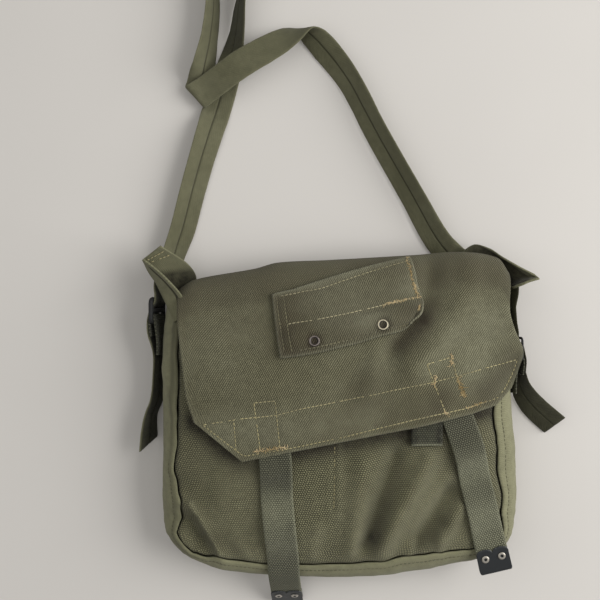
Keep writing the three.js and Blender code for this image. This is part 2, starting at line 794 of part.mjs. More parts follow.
function buckleGeometry(side) {
  const { slotWidth, length, bar, thickness, corner } = BUCKLE;
  const width = slotWidth + 2 * bar;
  const frame = new THREE.Shape();
  const [w, l] = [width / 2, length / 2];
  frame.moveTo(-w + corner, -l);
  frame.lineTo(w - corner, -l);
  frame.absarc(w - corner, -l + corner, corner, -Math.PI / 2, 0);
  frame.absarc(w - corner, l - corner, corner, 0, Math.PI / 2);
  frame.absarc(-w + corner, l - corner, corner, Math.PI / 2, Math.PI);
  frame.absarc(-w + corner, -l + corner, corner, Math.PI, 1.5 * Math.PI);
  const slot = (length - 3 * bar) / 2;
  [-1, 1].forEach((half) => {
    const middle = (half * (bar + slot)) / 2;
    const [low, high] = [middle - slot / 2, middle + slot / 2];
    const hole = new THREE.Path();
    hole.moveTo(-slotWidth / 2, low);
    hole.lineTo(-slotWidth / 2, high);
    hole.lineTo(slotWidth / 2, high);
    hole.lineTo(slotWidth / 2, low);
    hole.closePath();
    frame.holes.push(hole);
  });
  const plate = { depth: thickness, bevelEnabled: false, curveSegments: 4 };
  const geometry = new THREE.ExtrudeGeometry(frame, plate).translate(0, 0, -thickness / 2);
  const { place, across } = sideStation(side, 0, 0);
  const along = new THREE.Vector3(0, 1, 0);
  const matrix = new THREE.Matrix4().makeBasis(across, along, across.clone().cross(along)).setPosition(place);
  return geometry.applyMatrix4(matrix);
}

function buckleTabGeometry(side) {
  const bar = -(BUCKLE.length - BUCKLE.bar) / 2;
  const { tail, seat, wrap, end } = CHAPE;
  const rows = table(["along", "away"], [
    [tail, -seat], [(2 * tail + bar) / 3, -seat], [bar - 1, -wrap], [bar + 0.7 * wrap, -0.7 * wrap],
    [bar + wrap, 0], [bar + 0.7 * wrap, 0.7 * wrap], [bar - 1, wrap], [end, wrap - 0.9],
  ]);
  const stations = rows.map(({ along, away }) => sideStation(side, along, away));
  return strapGeometry(smoothStations(stations, TAB_STEPS), TAB_WIDTH, TAB_WEBBING);
}

function routeStation(row) {
  const azimuth = THREE.MathUtils.degToRad(row.azimuth);
  const elevation = THREE.MathUtils.degToRad(row.elevation);
  const [level, rise] = [Math.cos(elevation), Math.sin(elevation)];
  const z = row.lift + (STRAP_WIDTH * Math.abs(rise) + STRAP_CANVAS * level) / 2;
  return {
    place: new THREE.Vector3(row.x, row.y, z),
    across: new THREE.Vector3(level * Math.cos(azimuth), level * Math.sin(azimuth), rise),
  };
}

function shoulderStrapGeometry() {
  const [left, right] = SIDES;
  const through = (side) => SLIDE_RUN.map(({ along, out }) => sideStation(side, along, out));
  const stations = [
    ...LEFT_TAIL.map(routeStation),
    ...through(left),
    ...STRAP_LOOP.map(routeStation),
    ...through(right).reverse(),
    ...RIGHT_TAIL.map(routeStation),
  ];
  return strapGeometry(
    smoothStations(stations, ROUTE_STEPS_PER_POINT * (stations.length - 1)),
    STRAP_WIDTH,
    STRAP_CANVAS,
  );
}

// The assembly
const bag = new THREE.Group();
bag.name = "gas_mask_bag";

function add(name, geometry, material) {
  const mesh = new THREE.Mesh(geometry, new THREE.MeshStandardMaterial(material));
  mesh.name = name;
  bag.add(mesh);
}

const CANVAS_LOOK = { color: 0x5d6047, roughness: 0.9, metalness: 0 };
const STRAP_LOOK = { color: 0x5f664c, roughness: 0.9, metalness: 0 };
const WEBBING_LOOK = { color: 0x5a5f45, roughness: 0.88, metalness: 0 };
const TIP_LOOK = { color: 0x24282b, roughness: 0.45, metalness: 0.7 };
const RIVET_LOOK = { color: 0x8d8b84, roughness: 0.35, metalness: 1 };
const BRONZE_LOOK = { color: 0x57503f, roughness: 0.4, metalness: 0.9 };
const BUCKLE_LOOK = { color: 0x1e1f1f, roughness: 0.5, metalness: 0.6 };

add("back_panel", backPanelGeometry(), CANVAS_LOOK);
add("front_panel", frontPanelGeometry(), CANVAS_LOOK);
add("gusset", gussetGeometry(), CANVAS_LOOK);
EARS.forEach((ear) => add(ear.name, earGeometry(ear), CANVAS_LOOK));
add("flap", flapGeometry(), CANVAS_LOOK);
add("flap_pocket", pocketGeometry(), CANVAS_LOOK);
EYELETS.forEach((row) => add(row.name, eyeletGeometry(row), BRONZE_LOOK));
add("closure_tab", closureTabGeometry(), WEBBING_LOOK);
CLOSING_STRAPS.forEach((strap) => {
  add(`closing_strap_${strap.side}`, closingStrapGeometry(strap), WEBBING_LOOK);
  add(`strap_tip_${strap.side}`, strapTipGeometry(strap), TIP_LOOK);
  rivetFrames(strap).forEach((matrix, n) => {
    add(`tip_rivet_${strap.side}_${n + 1}`, rivetGeometry(matrix), RIVET_LOOK);
  });
});
SIDES.forEach((side) => {
  add(`side_buckle_${side.side}`, buckleGeometry(side), BUCKLE_LOOK);
  add(`buckle_tab_${side.side}`, buckleTabGeometry(side), WEBBING_LOOK);
});
add("shoulder_strap", shoulderStrapGeometry(), STRAP_LOOK);

export default bag;
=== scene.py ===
import math

import bpy
import numpy as np
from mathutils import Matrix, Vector


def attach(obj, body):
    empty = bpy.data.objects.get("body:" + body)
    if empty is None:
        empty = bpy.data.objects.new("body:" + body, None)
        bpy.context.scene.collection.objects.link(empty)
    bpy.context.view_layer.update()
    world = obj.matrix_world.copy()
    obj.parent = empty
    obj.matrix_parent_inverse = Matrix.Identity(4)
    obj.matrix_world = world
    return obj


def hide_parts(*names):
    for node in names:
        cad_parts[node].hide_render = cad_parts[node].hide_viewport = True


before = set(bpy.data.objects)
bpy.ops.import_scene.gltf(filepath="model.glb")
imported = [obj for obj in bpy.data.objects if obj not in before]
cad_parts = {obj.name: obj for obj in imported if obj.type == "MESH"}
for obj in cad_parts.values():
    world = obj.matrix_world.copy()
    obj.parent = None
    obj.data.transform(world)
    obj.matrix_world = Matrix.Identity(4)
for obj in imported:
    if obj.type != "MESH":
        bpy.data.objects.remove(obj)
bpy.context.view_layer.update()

MM = 0.001

# Cloth and webbing
CANVAS = 1.8
FLAP_CANVAS = 2.0
POCKET_CANVAS = 2.8
EAR_CANVAS = 1.6
WEBBING = 1.8
TAB_WEBBING = 1.4
STRAP_CANVAS = 1.6
WEBBING_WIDTH = 26
STRAP_WIDTH = 25
TAB_WIDTH = 25
SEAM_GAP = 1.0
LAY_GAP = 0.45
POCKET_GAP = 0.95
FRONT_TUCK = 0.8
RIM_ROUND = 0.6
YARN_WOBBLE = 0.0005

# Columns and rows of the cloth meshes, and places across a ribbon
GRIDS = dict(
    front=(168, 132), back=(72, 60), gusset=(320, 36),
    flap=(208, 160), pocket=(160, 88), ear=(108, 84),
)
WEBBING_ROWS = 150
TAB_ROWS = 72
STRAP_STEPS = 8
RIBBON = np.linspace(-1, 1, 17)

# Body and flap, as in the solids
HALF_WIDTH = 138
CROWN_POWER = 2.5
BACK_INSET = 14
BACK_SEAM_Z = 1.1
GUSSET_SWEEP = math.radians(75)
SEAM_GROOVE = 1.2
GROOVE_REACH = 6
GUSSET_RUN = 780
GUSSET_SEAM = 0.885
FLAP_LIFT = 5.4
ROLL_DEPTH = 24
ROLL_UNDERSIDE = 14
ROLL_DROP = 3
ROLL_SHARE = 0.3
FLAP_COLUMNS = 26
TIP = dict(width=27, length=17.5, lobe=4.2, plate=0.9, slot=2.6, fold=1.2, round=2.4)
RIVET = dict(apart=14, from_end=13.6)
BUCKLE = dict(slot=27, length=21, bar=2.2, thickness=2.0, corner=3, z=20)


def table(columns, rows):
    return dict(zip(columns, np.array(rows, float).T))


GIRTH = np.array([
    [-150, 98, 14], [-152.5, 70, 15], [-153, 0, 14.5], [-153, -45, 12], [-152.5, -75, 17],
    [-149, -99, 11], [-131, -118, 8], [-100, -129.5, 13], [-35, -135, 12.5], [10, -135.5, 14],
    [55, -131.5, 17], [95, -124, 14], [125, -117, 13], [145, -103, 11], [150, -80, 14],
    [150, -28, 18], [146, 20, 18], [146, 80, 15], [145, 114, 14],
], float)
LEFT_CORNER = 5.5 / (len(GIRTH) - 1)
RIGHT_CORNER = 13 / (len(GIRTH) - 1)
PROFILE = table(("y", "edge", "crown"), [
    [-130, 34, 36], [-112, 39, 45], [-70, 43, 54], [-20, 45, 57],
    [40, 45, 55], [85, 43, 49], [115, 41, 45], [150, 38, 40],
])

# Soft folds and stains, some stains being painted shade: x and y of a line's points, then how wide and how
# high or how strong
FRONT_FOLDS = [
    [-127, -84, -118, -100, 11, -6], [-138, -62, -122, -78, -99, -113, 6, 4],
    [44, -26, 30, -68, 20, -102, 8, -6], [72, -30, 50, -70, 33, -106, 9, 6.5], [88, -58, 64, -96, 8, -6],
    [99, -70, 84, -100, 6, 3.5], [17, -32, 9, -104, 9, 3.5],
]
FRONT_CREASES = [
    [-6.5, -18, -7, -72, 2.2, -0.7], [-4, -18, -4, -76, 5, 0.8], [88, -46, 66, -74, 5, 1.2],
    [14, -92, 8, -108, 4, 1.4], [52, -92, 46, -110, 5, -1.4], [-100, -60, -70, -30, 16, 1.2],
    [-118, -30, -112, -70, 12, -1.0], [60, -100, 58, -112, 3, 1.0], [84, -92, 82, -108, 4, 1.2],
    [-127, -68, -102, -111, 2, 2.2], [-126, -84, -110, -108, 6, -2.0], [-90, -96, -78, -112, 5, 1.2],
    [-20, -88, -24, -112, 6, 1.3], [-40, -30, -36, -70, 9, -1.0],
]
# The first two rows darken the valleys of two front folds: brown stains there, deepened as painted shade.
FRONT_STAINS_AND_SHADE = [
    [34, -70, 25, -98, 9, 0.6], [86, -82, 66, -104, 8, 0.55], [-112, -96, -92, -106, 9, 0.45],
    [27, -94, 27, -97, 8, 0.4], [96, -46, 104, -60, 9, 0.5], [-70, -36, -68, -60, 8, 0.3],
    [-128, -30, -126, -70, 12, 0.3], [46, -32, 38, -56, 8, 0.3], [84, -24, 96, -32, 10, 0.35],
]
FLAP_FOLDS = [[70, 4, 70, -10, 24, 3.6]]
FLAP_DENTS = [
    [76, 124, 68, 97, 40, 60, 9, -4.8], [106, 118, 94, 88, 60, 46, 13, 4.6], [18, 60, 6, 30, 11, -1.5],
    [42, 52, 32, 26, 9, -1.2], [30, 58, 22, 22, 9, 1.0], [-112, 108, -84, 70, 16, -1.6],
    [-100, 60, -60, 30, 22, 0.9], [124, 62, 112, 28, 10, -1.2], [-30, 48, -42, 20, 12, -0.9],
]
# The row from 68, 84 to 48, 66 is painted shadow: the shade that the pocket's lifted lower right corner casts
# into the fold below it.
FLAP_STAINS_AND_SHADOW = [
    [-112, 108, -98, 106, 24, 0.55], [-62, 112, -56, 112, 16, 0.3], [140, 50, 126, 36, 13, 0.6],
    [82, 24, 78, 14, 11, 0.45], [118, 26, 118, 20, 11, 0.3], [68, 84, 48, 66, 9, 0.8],
    [22, 34, 16, 26, 17, 0.35], [76, 102, 70, 92, 9, 0.5], [-72, -8, -56, -4, 10, 0.2],
    [-64, 14, -62, -2, 8, 0.3],
]
FLAP_FADES = [
    [122, 84, 110, 50, 22, 1.0], [-98, -6, -50, -2, 17, 0.75], [92, 76, 70, 48, 10, 0.6],
    [-16, 0, 20, 6, 12, 0.4], [-100, 70, -90, 40, 24, 0.3],
]
GUSSET_FOLDS = [[-149, 46, -141, 10, 3.5, 1.6], [-151, 30, -150, -30, 6, -0.9]]

FLAP_CREST = table(("x", "y"), [
    [-138.5, 112], [-126, 119.5], [-73, 129], [-54, 134], [-9, 136.3],
    [60, 140.3], [104, 143.2], [136, 138.5], [144, 128],
])
FLAP_LEFT = np.array([[-137.8, 88], [-136, 70], [-133.4, 49.6], [-129.5, 20], [-123, 1]])
FLAP_RIGHT = np.array([[141.2, 104], [141, 93], [145, 78], [152, 62], [152, 56]])
FLAP_HEM = table(("column", "x", "y"), [
    [0, -123, 1], [4, -83, -30.5], [8, -43.5, -22.2], [13, 6, -12.3], [18, 58, -2],
    [22, 108, 9], [24, 129, 16], [25, 142, 30], [26, 152, 56],
])
HEM_LINE = np.stack([FLAP_HEM["x"], FLAP_HEM["y"]], -1)

# Pocket corners as shares of the flap's columns and rows, and places on the pocket
POCKET = dict(
    top_left=(0.287, 0.315), top_right=(0.697, 0.212),
    bottom_left=(0.308, 0.609), bottom_right=(0.753, 0.49),
)
POCKET_BOW = 0.025
POCKET_ROUND = (0.055, 0.13)
POCKET_CURL = dict(corner=4.2, edge=0.8)
EYELETS = {"eyelet_left": (0.245, 0.845), "eyelet_right": (0.715, 0.865)}

CLOSURE_TAB = dict(x=70, top=3, bottom=-17)
CLOSING_STRAPS = {
    "left": dict(
        lying=[[-64, 16], [-55.7, -25], [-54.1, -63], [-50.9, -97.6], [-49.2, -117]],
        hanging=[[-48.6, -130, 39.5], [-47.8, -140.5, 29], [-47, -150.5, 18], [-46, -162, 4.8]],
    ),
    "right": dict(
        lying=[[79, 52], [92, 15.5], [95.7, 6.4], [105.4, -21.2], [112.6, -53], [119.5, -80.5]],
        hanging=[[125.3, -104.3, 46.7], [127.9, -114.4, 45.4], [130.4, -124.5, 44.1]],
    ),
}
STRAP_WAVES = {
    "left": [[-57, -30, -55, -37, 9, 3.4], [-52, -84, -51, -92, 13, 3.8]],
    "right": [[106, -20, 107, -28, 9, 3.2], [116, -66, 118, -76, 13, 3.2]],
}
# The first row of each side is painted shadow: the strap's top, where it comes out from under the flap's hem,
# is darkened.
STRAP_STAINS_AND_SHADE = {
    "left": [[-57, -22, -54, -50, 10, 0.5], [-49, -118, -48, -134, 12, 0.3]],
    "right": [[97, 2, 106, -22, 10, 0.45], [113, -52, 114, -58, 10, 0.3]],
}
# Faded webbing, placed where the strap's waves face the light, so partly painted light.
STRAP_FADES_AND_LIGHT = {
    "left": [[-54, -66, -53, -74, 12, 0.4]],
    "right": [[108, -34, 110, -42, 10, 0.45], [118, -78, 122, -96, 12, 0.25]],
}

# Ears: rails from the mouth to the tip, from the back edge to the front edge, and their shares of the width
# Each ear also gives how strongly painted shade darkens the inside of its fold, on the upper face and on the
# lower face.
EARS = {
    "gusset_ear_left": dict(
        shares=[0, 0.5, 1], mirrored=False, dirt_and_shade=1.4, lower_face_shade=0.0,
        rails=[
            [[-143, 87, 41], [-139, 101, 22], [-130, 112, 12], [-126, 121.5, 16], [-131, 133, 27],
             [-152.7, 148.5, 44]],
            [[-141, 84, 44], [-147.6, 94, 39.5], [-155.2, 107, 35], [-161, 118, 33.5], [-166.3, 127, 35],
             [-169.3, 137, 36]],
            [[-133, 90, 45.7], [-132, 98, 44.5], [-134.5, 106, 44.5], [-144, 117.5, 47.5], [-155, 128.2, 49],
             [-166, 136.7, 50]],
        ],
    ),
    "gusset_ear_right": dict(
        shares=[0, 0.3, 0.5, 1], mirrored=True, dirt_and_shade=1.5, lower_face_shade=0.12,
        rails=[
            [[146.5, 114.8, 13], [148, 130, 15], [128, 143.2, 14], [108.5, 144.6, 14], [117.5, 151.3, 17],
             [128.5, 148, 20], [139, 140.5, 24], [150, 133, 31], [164, 124.5, 38]],
            [[146.5, 114.8, 17], [149, 126, 19], [145.5, 134, 18], [143, 137, 18], [143.5, 137.5, 20],
             [145, 137, 22], [148, 134.5, 25], [155, 129, 32], [166, 123, 38]],
            [[146.5, 114.8, 22], [149.5, 117.5, 26], [155, 120.5, 29], [162, 121.5, 33], [168.5, 121, 38]],
            [[146.3, 114.3, 33], [146.6, 113.6, 41], [150.5, 115.4, 46], [157, 118.4, 48], [165.5, 121, 48]],
        ],
    ),
}

# Slides, and the shoulder strap's route: x, y, lift of the lower edge, azimuth and elevation across
SIDES = {
    "left": dict(out=-1, x=-159.4, y=94, lean=12, wire=4.4),
    "right": dict(out=1, x=153, y=61, lean=8, wire=2.2),
}
CHAPE = dict(tail=-38, seat=4.8, wrap=2.4, end=-22)
SLIDE_RUN = [
    [-20, 3.8], [-10, 4.4], [-4, 3.3], [0.4, 2.3], [2.8, 1.6], [4.7, 0], [6.6, -1.6], [9, -2.5], [14, -2.6],
]
LEFT_TAIL = [
    [-169, -30, 0.5, 166, 64], [-167.6, -14, 0.5, 168, 64], [-166, 2, 0.5, 172, 73],
    [-160.6, 17, 0.6, 176, 72], [-158.4, 40, 0.9, 180, 72], [-158.8, 58, 3.4, 180, 76],
]
STRAP_LOOP = [
    [-156, 117, 3.5, 165, 66], [-150, 130, 1.1, 163, 54], [-145, 147, 0.5, 163, 44],
    [-139, 165, 0.5, 165, 37], [-130.8, 197, 0.5, 166, 36], [-122.2, 228, 0.7, 164, 34],
    [-113.5, 257, 0.7, 163, 24], [-109.5, 271, 0.7, 163, 2], [-104, 290, 0.6, 163, 0],
    [-100, 303, 0.5, 163, -12], [-95, 320, 0.5, 163, -36], [-90.5, 340, 0.5, 166, -54],
    [-88, 362, 0.5, 170, -64], [-84, 386, 0.6, 173, -76], [-83, 406, 0.7, 190, -84],
    [-91, 422, 0.8, 230, -86], [-104, 424, 0.8, 310, -86], [-113, 410, 0.7, 350, -84],
    [-113.5, 390, 0.6, 360, -78], [-111.5, 367, 0.6, 364, -68], [-114.6, 334, 0.5, 352, -62],
    [-119.5, 308, 3, 344, -46], [-123.5, 292, 3, 332, -8], [-127.4, 283, 4.2, 316, -6],
    [-126.6, 282.2, 9, 308, -5], [-119, 286.8, 11.6, 298, 0], [-107.5, 294.3, 14.5, 300, 4],
    [-87, 308, 19.5, 300, 4], [-67, 320, 17.5, 303, 8], [-53, 328.5, 13.5, 306, 18],
    [-42.5, 335.5, 8, 314, 34], [-32, 341.5, 1.6, 350, 50], [-22.5, 335, 0.9, 24, 38],
    [-12.5, 324.5, 0.7, 33, 30], [0.5, 308, 0.6, 33, 38], [10.4, 293, 0.6, 31, 44],
    [32.8, 250.6, 0.5, 28, 44], [64, 195.6, 0.5, 29, 42], [89.5, 152.3, 0.5, 32, 32],
    [112, 133, 0.6, 52, 0], [132, 132, 0.7, 66, 3], [145, 123, 0.6, 45, 20],
    [149, 111, 0.8, 15, 62], [149.3, 97, 1.5, 4, 80], [150, 84, 3.4, 0, 81],
]
RIGHT_TAIL = [
    [158, 31, 3.2, 6, 66], [162.5, 20.5, 0.9, 30, 50], [170.5, 10, 0.6, 42, 38],
    [180, 1, 0.5, 45, 34], [190, -7.5, 0.5, 46, 33],
]

# Stitch lines on the flap, seen from above
FLAP_STITCHES = [
    [[-115.6, -0.8], [-83.7, 4.7], [-54.8, 7.9], [-33.4, 13.3], [4.5, 20.7], [33.4, 26.4], [58.2, 32],
     [75.8, 35.2], [93.4, 39.2], [111.3, 44], [145.9, 52.8]],
    [[-78.8, -25.8], [-44.9, -19.6], [-25.1, -15.4], [5.3, -8.8], [60.6, 4.9], [75.6, 8.1], [100.8, 12.7],
     [123.1, 19], [132.7, 22.9]],
    [[-115.6, -0.8], [-99.6, -12.9], [-82.1, -25.8], [-78.8, -25.8]],
    [[-89.6, 2.1], [-87.9, -21.8]],
    [[146.8, 52.7], [142.3, 41.1], [136.2, 29.5], [130.9, 23]],
    [[-73, 18], [-55.6, 19.8], [-51.5, -19.7]],
    [[-73, 18], [-68, -19.8]],
    [[69.2, 50.1], [90.3, 55.7], [100, 21]],
    [[69.2, 50.1], [84.8, 9.6]],
]
FRONT_STITCHES = [[[-6, -18], [-6.2, -46], [-6.7, -72.5]]]

# Frayed threads: two ends on the flap, or as shares of the pocket, how many tufts and how long
FLAP_FRAYS = [
    [90.5, 57, 90, 49, 5, 3], [76.4, 40, 76, 33, 5, 3], [96, 38, 101, 23, 11, 4], [84.6, 10.5, 86, 8.5, 3, 3],
    [104, 14, 116, 17, 6, 2.5], [-72, -21.8, -46, -17.8, 16, 2.5],
]
POCKET_FRAYS = [
    [0.972, 0.04, 0.98, 0.52, 22, 3.2], [0.76, 0.55, 0.98, 0.56, 20, 3], [0.955, 0.72, 0.96, 0.82, 6, 2.5],
]
TUFT = dict(ends=5, spread=1.0, radius=(0.26, 0.13), sides=5)


# Small tools
def mix(a, b, t):
    return a + (b - a) * t


def smooth(x):
    x = np.clip(x, 0, 1)
    return x * x * (3 - 2 * x)


def bell(x, width):
    return np.exp(-((x / width) ** 2))


def unit(v):
    return v / np.maximum(np.linalg.norm(v, axis=-1, keepdims=True), 1e-9)


def grid(name):
    columns, rows = GRIDS[name]
    return np.meshgrid(np.linspace(0, 1, columns + 1), np.linspace(0, 1, rows + 1))


def noise(x, y, seed):
    """Smooth random waves about one unit wide, from -1 to 1."""
    lattice = np.random.default_rng(seed).uniform(-1, 1, (64, 64))
    i, j = np.floor(x).astype(int), np.floor(y).astype(int)
    fx, fy = smooth(x - i), smooth(y - j)

    def value(a, b):
        return lattice[(j + b) % 64, (i + a) % 64]

    return mix(mix(value(0, 0), value(1, 0), fx), mix(value(0, 1), value(1, 1), fx), fy)


def spline(points, t):
    """Centripetal curve through points, at shares t of its spans."""
    p = np.asarray(points, float)
    t = np.asarray(t, float)
    place = np.clip(t.ravel(), 0, 1) * (len(p) - 1)
    i = np.minimum(place.astype(int), len(p) - 2)
    w = (place - i)[:, None]
    ends = np.vstack([2 * p[0] - p[1], p, 2 * p[-1] - p[-2]])
    a, b, c, d = (ends[i + k] for k in range(4))

    def span(q, r):
        return np.maximum(np.sum((r - q) ** 2, axis=1, keepdims=True), 1e-12) ** 0.25

    d0, d1, d2 = span(a, b), span(b, c), span(c, d)
    m1 = ((b - a) / d0 - (c - a) / (d0 + d1) + (c - b) / d1) * d1
    m2 = ((c - b) / d1 - (d - b) / (d1 + d2) + (d - c) / d2) * d1
    cubic = (2 * b - 2 * c + m1 + m2) * w**3 + (3 * c - 3 * b - 2 * m1 - m2) * w**2 + m1 * w + b
    return cubic.reshape(t.shape + (p.shape[1],))


def follow(keys, values, t):
    """Cubic curve through values over keys."""
    t = np.clip(t, keys[0], keys[-1])
    i = np.clip(np.searchsorted(keys, t, side="right") - 1, 0, len(keys) - 2)
    n = np.arange(len(keys))
    before, after = np.maximum(n - 1, 0), np.minimum(n + 1, len(keys) - 1)
    slope = (values[after] - values[before]) / (keys[after] - keys[before])
    width = keys[i + 1] - keys[i]
    s = (t - keys[i]) / width
    pull = width * s * (1 - s) * (slope[i] * (1 - s) - slope[i + 1] * s)
    return mix(values[i], values[i + 1], smooth(s)) + pull


def run_along(points):
    """Distance along a line at each of its points."""
    return np.concatenate([[0], np.cumsum(np.linalg.norm(np.diff(points, axis=0), axis=1))])


def read_along(where, run, values):
    """Values that are given along a run, read at other places on it."""
    return np.stack([np.interp(where, run, column) for column in np.asarray(values).T], -1)


def away_from(a, b, x, y):
    """Distance of points from a straight line given by its two ends."""
    dx, dy = b[0] - a[0], b[1] - a[1]
    t = np.clip(((x - a[0]) * dx + (y - a[1]) * dy) / (dx * dx + dy * dy), 0, 1)
    return np.hypot(x - a[0] - t * dx, y - a[1] - t * dy)


def folds(rows, x, y):
    """Sum of soft folds or stains."""
    total = 0
    for *points, width, height in rows:
        total = total + height * along_lines([np.reshape(points, (-1, 2))], x, y, width)
    return total


def along_lines(lines, x, y, width):
    """1 on a set of lines, falling to 0 beside them."""
    total = np.zeros(np.shape(x))
    for points in lines:
        for a, b in zip(points[:-1], points[1:]):
            total = np.maximum(total, bell(away_from(a, b, x, y), width))
    return total


# Form of the body
def girth(t):
    """Place, width of the seam's inset and outward direction at shares t of the body's outline."""
    step = 1e-4
    here = spline(GIRTH, t)
    ahead, behind = spline(GIRTH, np.minimum(t + step, 1)), spline(GIRTH, np.maximum(t - step, 0))
    heading = unit((ahead - behind)[..., :2])
    outward = np.stack([heading[..., 1], -heading[..., 0]], -1)
    return here[..., :2], here[..., 2], outward


def inset_point(t, inset):
    place, _, outward = girth(np.asarray(t, float))
    return place - outward * np.asarray(inset)[..., None]


def body_height(x, y):
    edge = follow(PROFILE["y"], PROFILE["edge"], y)
    crown = follow(PROFILE["y"], PROFILE["crown"], y)
    return edge + (crown - edge) * (1 - np.abs(x / HALF_WIDTH) ** CROWN_POWER)


def seam_wave(t):
    """How far the front seam wanders off its line."""
    return 1.1 * noise(45 * t, 0 * t, 12) + 0.45 * noise(105 * t, 0 * t, 13)


def front_height(x, y):
    return body_height(x, y) + folds(FRONT_FOLDS, x, y)


def panel_point(u, v, inset_of):
    """A panel between its left, lower and right edge, which lie inside the outline."""
    def edge(t):
        t = np.asarray(t, float)
        return inset_point(t, inset_of(t))

    top = mix(edge(0.0), edge(1.0), u[..., None])
    chord = mix(edge(LEFT_CORNER), edge(RIGHT_CORNER), u[..., None])
    bottom = edge(mix(LEFT_CORNER, RIGHT_CORNER, u))
    sides = mix(edge(LEFT_CORNER * v), edge(1 - (1 - RIGHT_CORNER) * v), u[..., None])
    return mix(top, bottom, v[..., None]) + sides - mix(top, chord, v[..., None])


def front_z(x, y):
    """The front as it shows: the solid's folds, finer creases and slack."""
    slack = 0.35 * noise(x / 23, y / 31, 3) + 0.15 * noise(x / 9, y / 11, 4)
    sewn = along_lines(FRONT_STITCHES, x, y, 1.3)
    return front_height(x, y) + folds(FRONT_CREASES, x, y) + slack - 0.4 * sewn


def front_panel():
    u, v = grid("front")
    x, y = np.moveaxis(panel_point(u, v, lambda t: girth(t)[1] + SEAM_GAP + FRONT_TUCK + seam_wave(t)), -1, 0)
    from_side = np.minimum(u, 1 - u)
    from_seam = 2 * HALF_WIDTH * np.minimum(from_side, 1 - v)
    seam_run = np.where(v > 1 - from_side, x, y)
    pucker = 0.55 * noise(seam_run / 7, from_seam / 30, 11) * np.exp(-from_seam / 9)
    groove = SEAM_GROOVE * np.exp(-from_seam / GROOVE_REACH) + 1.2 * np.exp(-from_seam / 1.5)
    z = front_z(x, y) + pucker - groove
    # Stains, two of them deepened as painted shade in fold valleys.
    stains_and_shade = folds(FRONT_STAINS_AND_SHADE, x, y) * (0.8 + 0.2 * noise(x / 8, y / 8, 5))
    # Painted shadow: the front is darkened round the closure tab and along under the flap's hem, where the
    # flap shades it.
    tab_shadow = np.exp(-(((x - CLOSURE_TAB["x"]) / 19) ** 4 + ((y + 6) / 13) ** 4))
    hem_shadow = along_lines([HEM_LINE], x, y, 11)
    marks = {
        "grime_and_shade": stains_and_shade + 0.5 * np.exp(-from_seam / 3) + 0.75 * tab_shadow + 1.2 * hem_shadow,
        "wear_and_light": 0.6 * np.clip(folds(FRONT_CREASES, x, y) / 2, 0, 1),
    }
    return thick_sheet("front_cloth", np.stack([x, y, z], -1), CANVAS / 2, CANVAS / 2, marks)


def back_panel():
    u, v = grid("back")
    x, y = np.moveaxis(panel_point(u, v, lambda t: np.full(np.shape(t), BACK_INSET + SEAM_GAP)), -1, 0)
    edge = np.minimum(np.minimum(u, 1 - u), np.minimum(v, 1 - v))
    z = CANVAS / 2 + 0.25 * (1 + noise(x / 30, y / 30, 8)) * smooth(edge * 12)
    marks = {"grime_and_shade": 0.4 * (1 - smooth(edge * 10))}
    return thick_sheet("back_cloth", np.stack([x, y, z], -1), CANVAS / 2, CANVAS / 2, marks)


def gusset_station(u):
    """The gusset runs down the left side, along the bottom and up the right side."""
    side, bottom = 18 / 60, 24 / 60
    left = LEFT_CORNER * u / side
    middle = mix(LEFT_CORNER, RIGHT_CORNER, (u - side) / bottom)
    right = mix(RIGHT_CORNER, 1, (u - side - bottom) / side)
    return np.where(u <= side, left, np.where(u <= side + bottom, middle, right))


def gusset_point(u, v):
    t = gusset_station(u)
    inset = girth(t)[1] + seam_wave(t)
    seam = inset_point(t, inset)
    top = front_height(seam[..., 0], seam[..., 1])
    angle = mix(-GUSSET_SWEEP, GUSSET_SWEEP, v)
    reach = (1 - np.cos(angle)) / (1 - math.cos(GUSSET_SWEEP))
    place = inset_point(t, reach * np.where(v < 0.5, BACK_INSET, inset))
    rise = (1 + np.sin(angle) / math.sin(GUSSET_SWEEP)) / 2
    return np.concatenate([place, mix(BACK_SEAM_Z, top, rise)[..., None]], -1)


def gusset_shape(u, v):
    """The gusset as it shows: a welt along the front seam, folds and small waves between the seams."""
    place = gusset_point(u, v)
    outward = np.concatenate([girth(gusset_station(u))[2], np.full(u.shape + (1,), 0.25)], -1)
    run = u * GUSSET_RUN
    seam = GUSSET_SEAM + 0.012 * noise(run / 11, 0 * run, 23)
    welt = 0.35 * bell(v - 0.965, 0.03) - 0.5 * bell(v - seam, 0.025)
    waves = 0.5 * noise(run / 17, v * 2.2, 21) + 0.25 * noise(run / 6, v * 3, 22)
    bulge = folds(GUSSET_FOLDS, place[..., 0], place[..., 1]) * smooth((v - 0.4) / 0.2)
    lift = welt + waves * np.sin(np.pi * np.clip(v, 0, 1)) + bulge
    return place + unit(outward) * lift[..., None]


def gusset():
    """Dirty along its seams, darkened with painted shade at the upper left under the flap's edge, faded over
    the bottom and right, and lightened with painted light down its left side.
    """
    u, v = grid("gusset")
    # Painted shade at the upper left, where the flap's edge overhangs the gusset.
    under_flap_shade = smooth((v - 0.72) / 0.15) * smooth((0.14 - u) / 0.05)
    # Painted light: the left side, which faces away from the key light, is made paler.
    left = smooth((0.3 - u) / 0.05) * smooth((v - 0.2) / 0.2) * (1 - smooth((v - 0.85) / 0.1))
    marks = {
        "grime_and_shade": 0.35 * np.exp(-v / 0.1) + 0.4 * bell(v - GUSSET_SEAM, 0.02) + 0.6 * under_flap_shade,
        "wear_and_light": 0.55 * bell(v - 0.97, 0.03) + 0.9 * smooth((u - 0.3) / 0.05) + left,
    }
    return thick_sheet("gusset_cloth", gusset_shape(u, v), CANVAS / 2, CANVAS / 2, marks, flip=True)


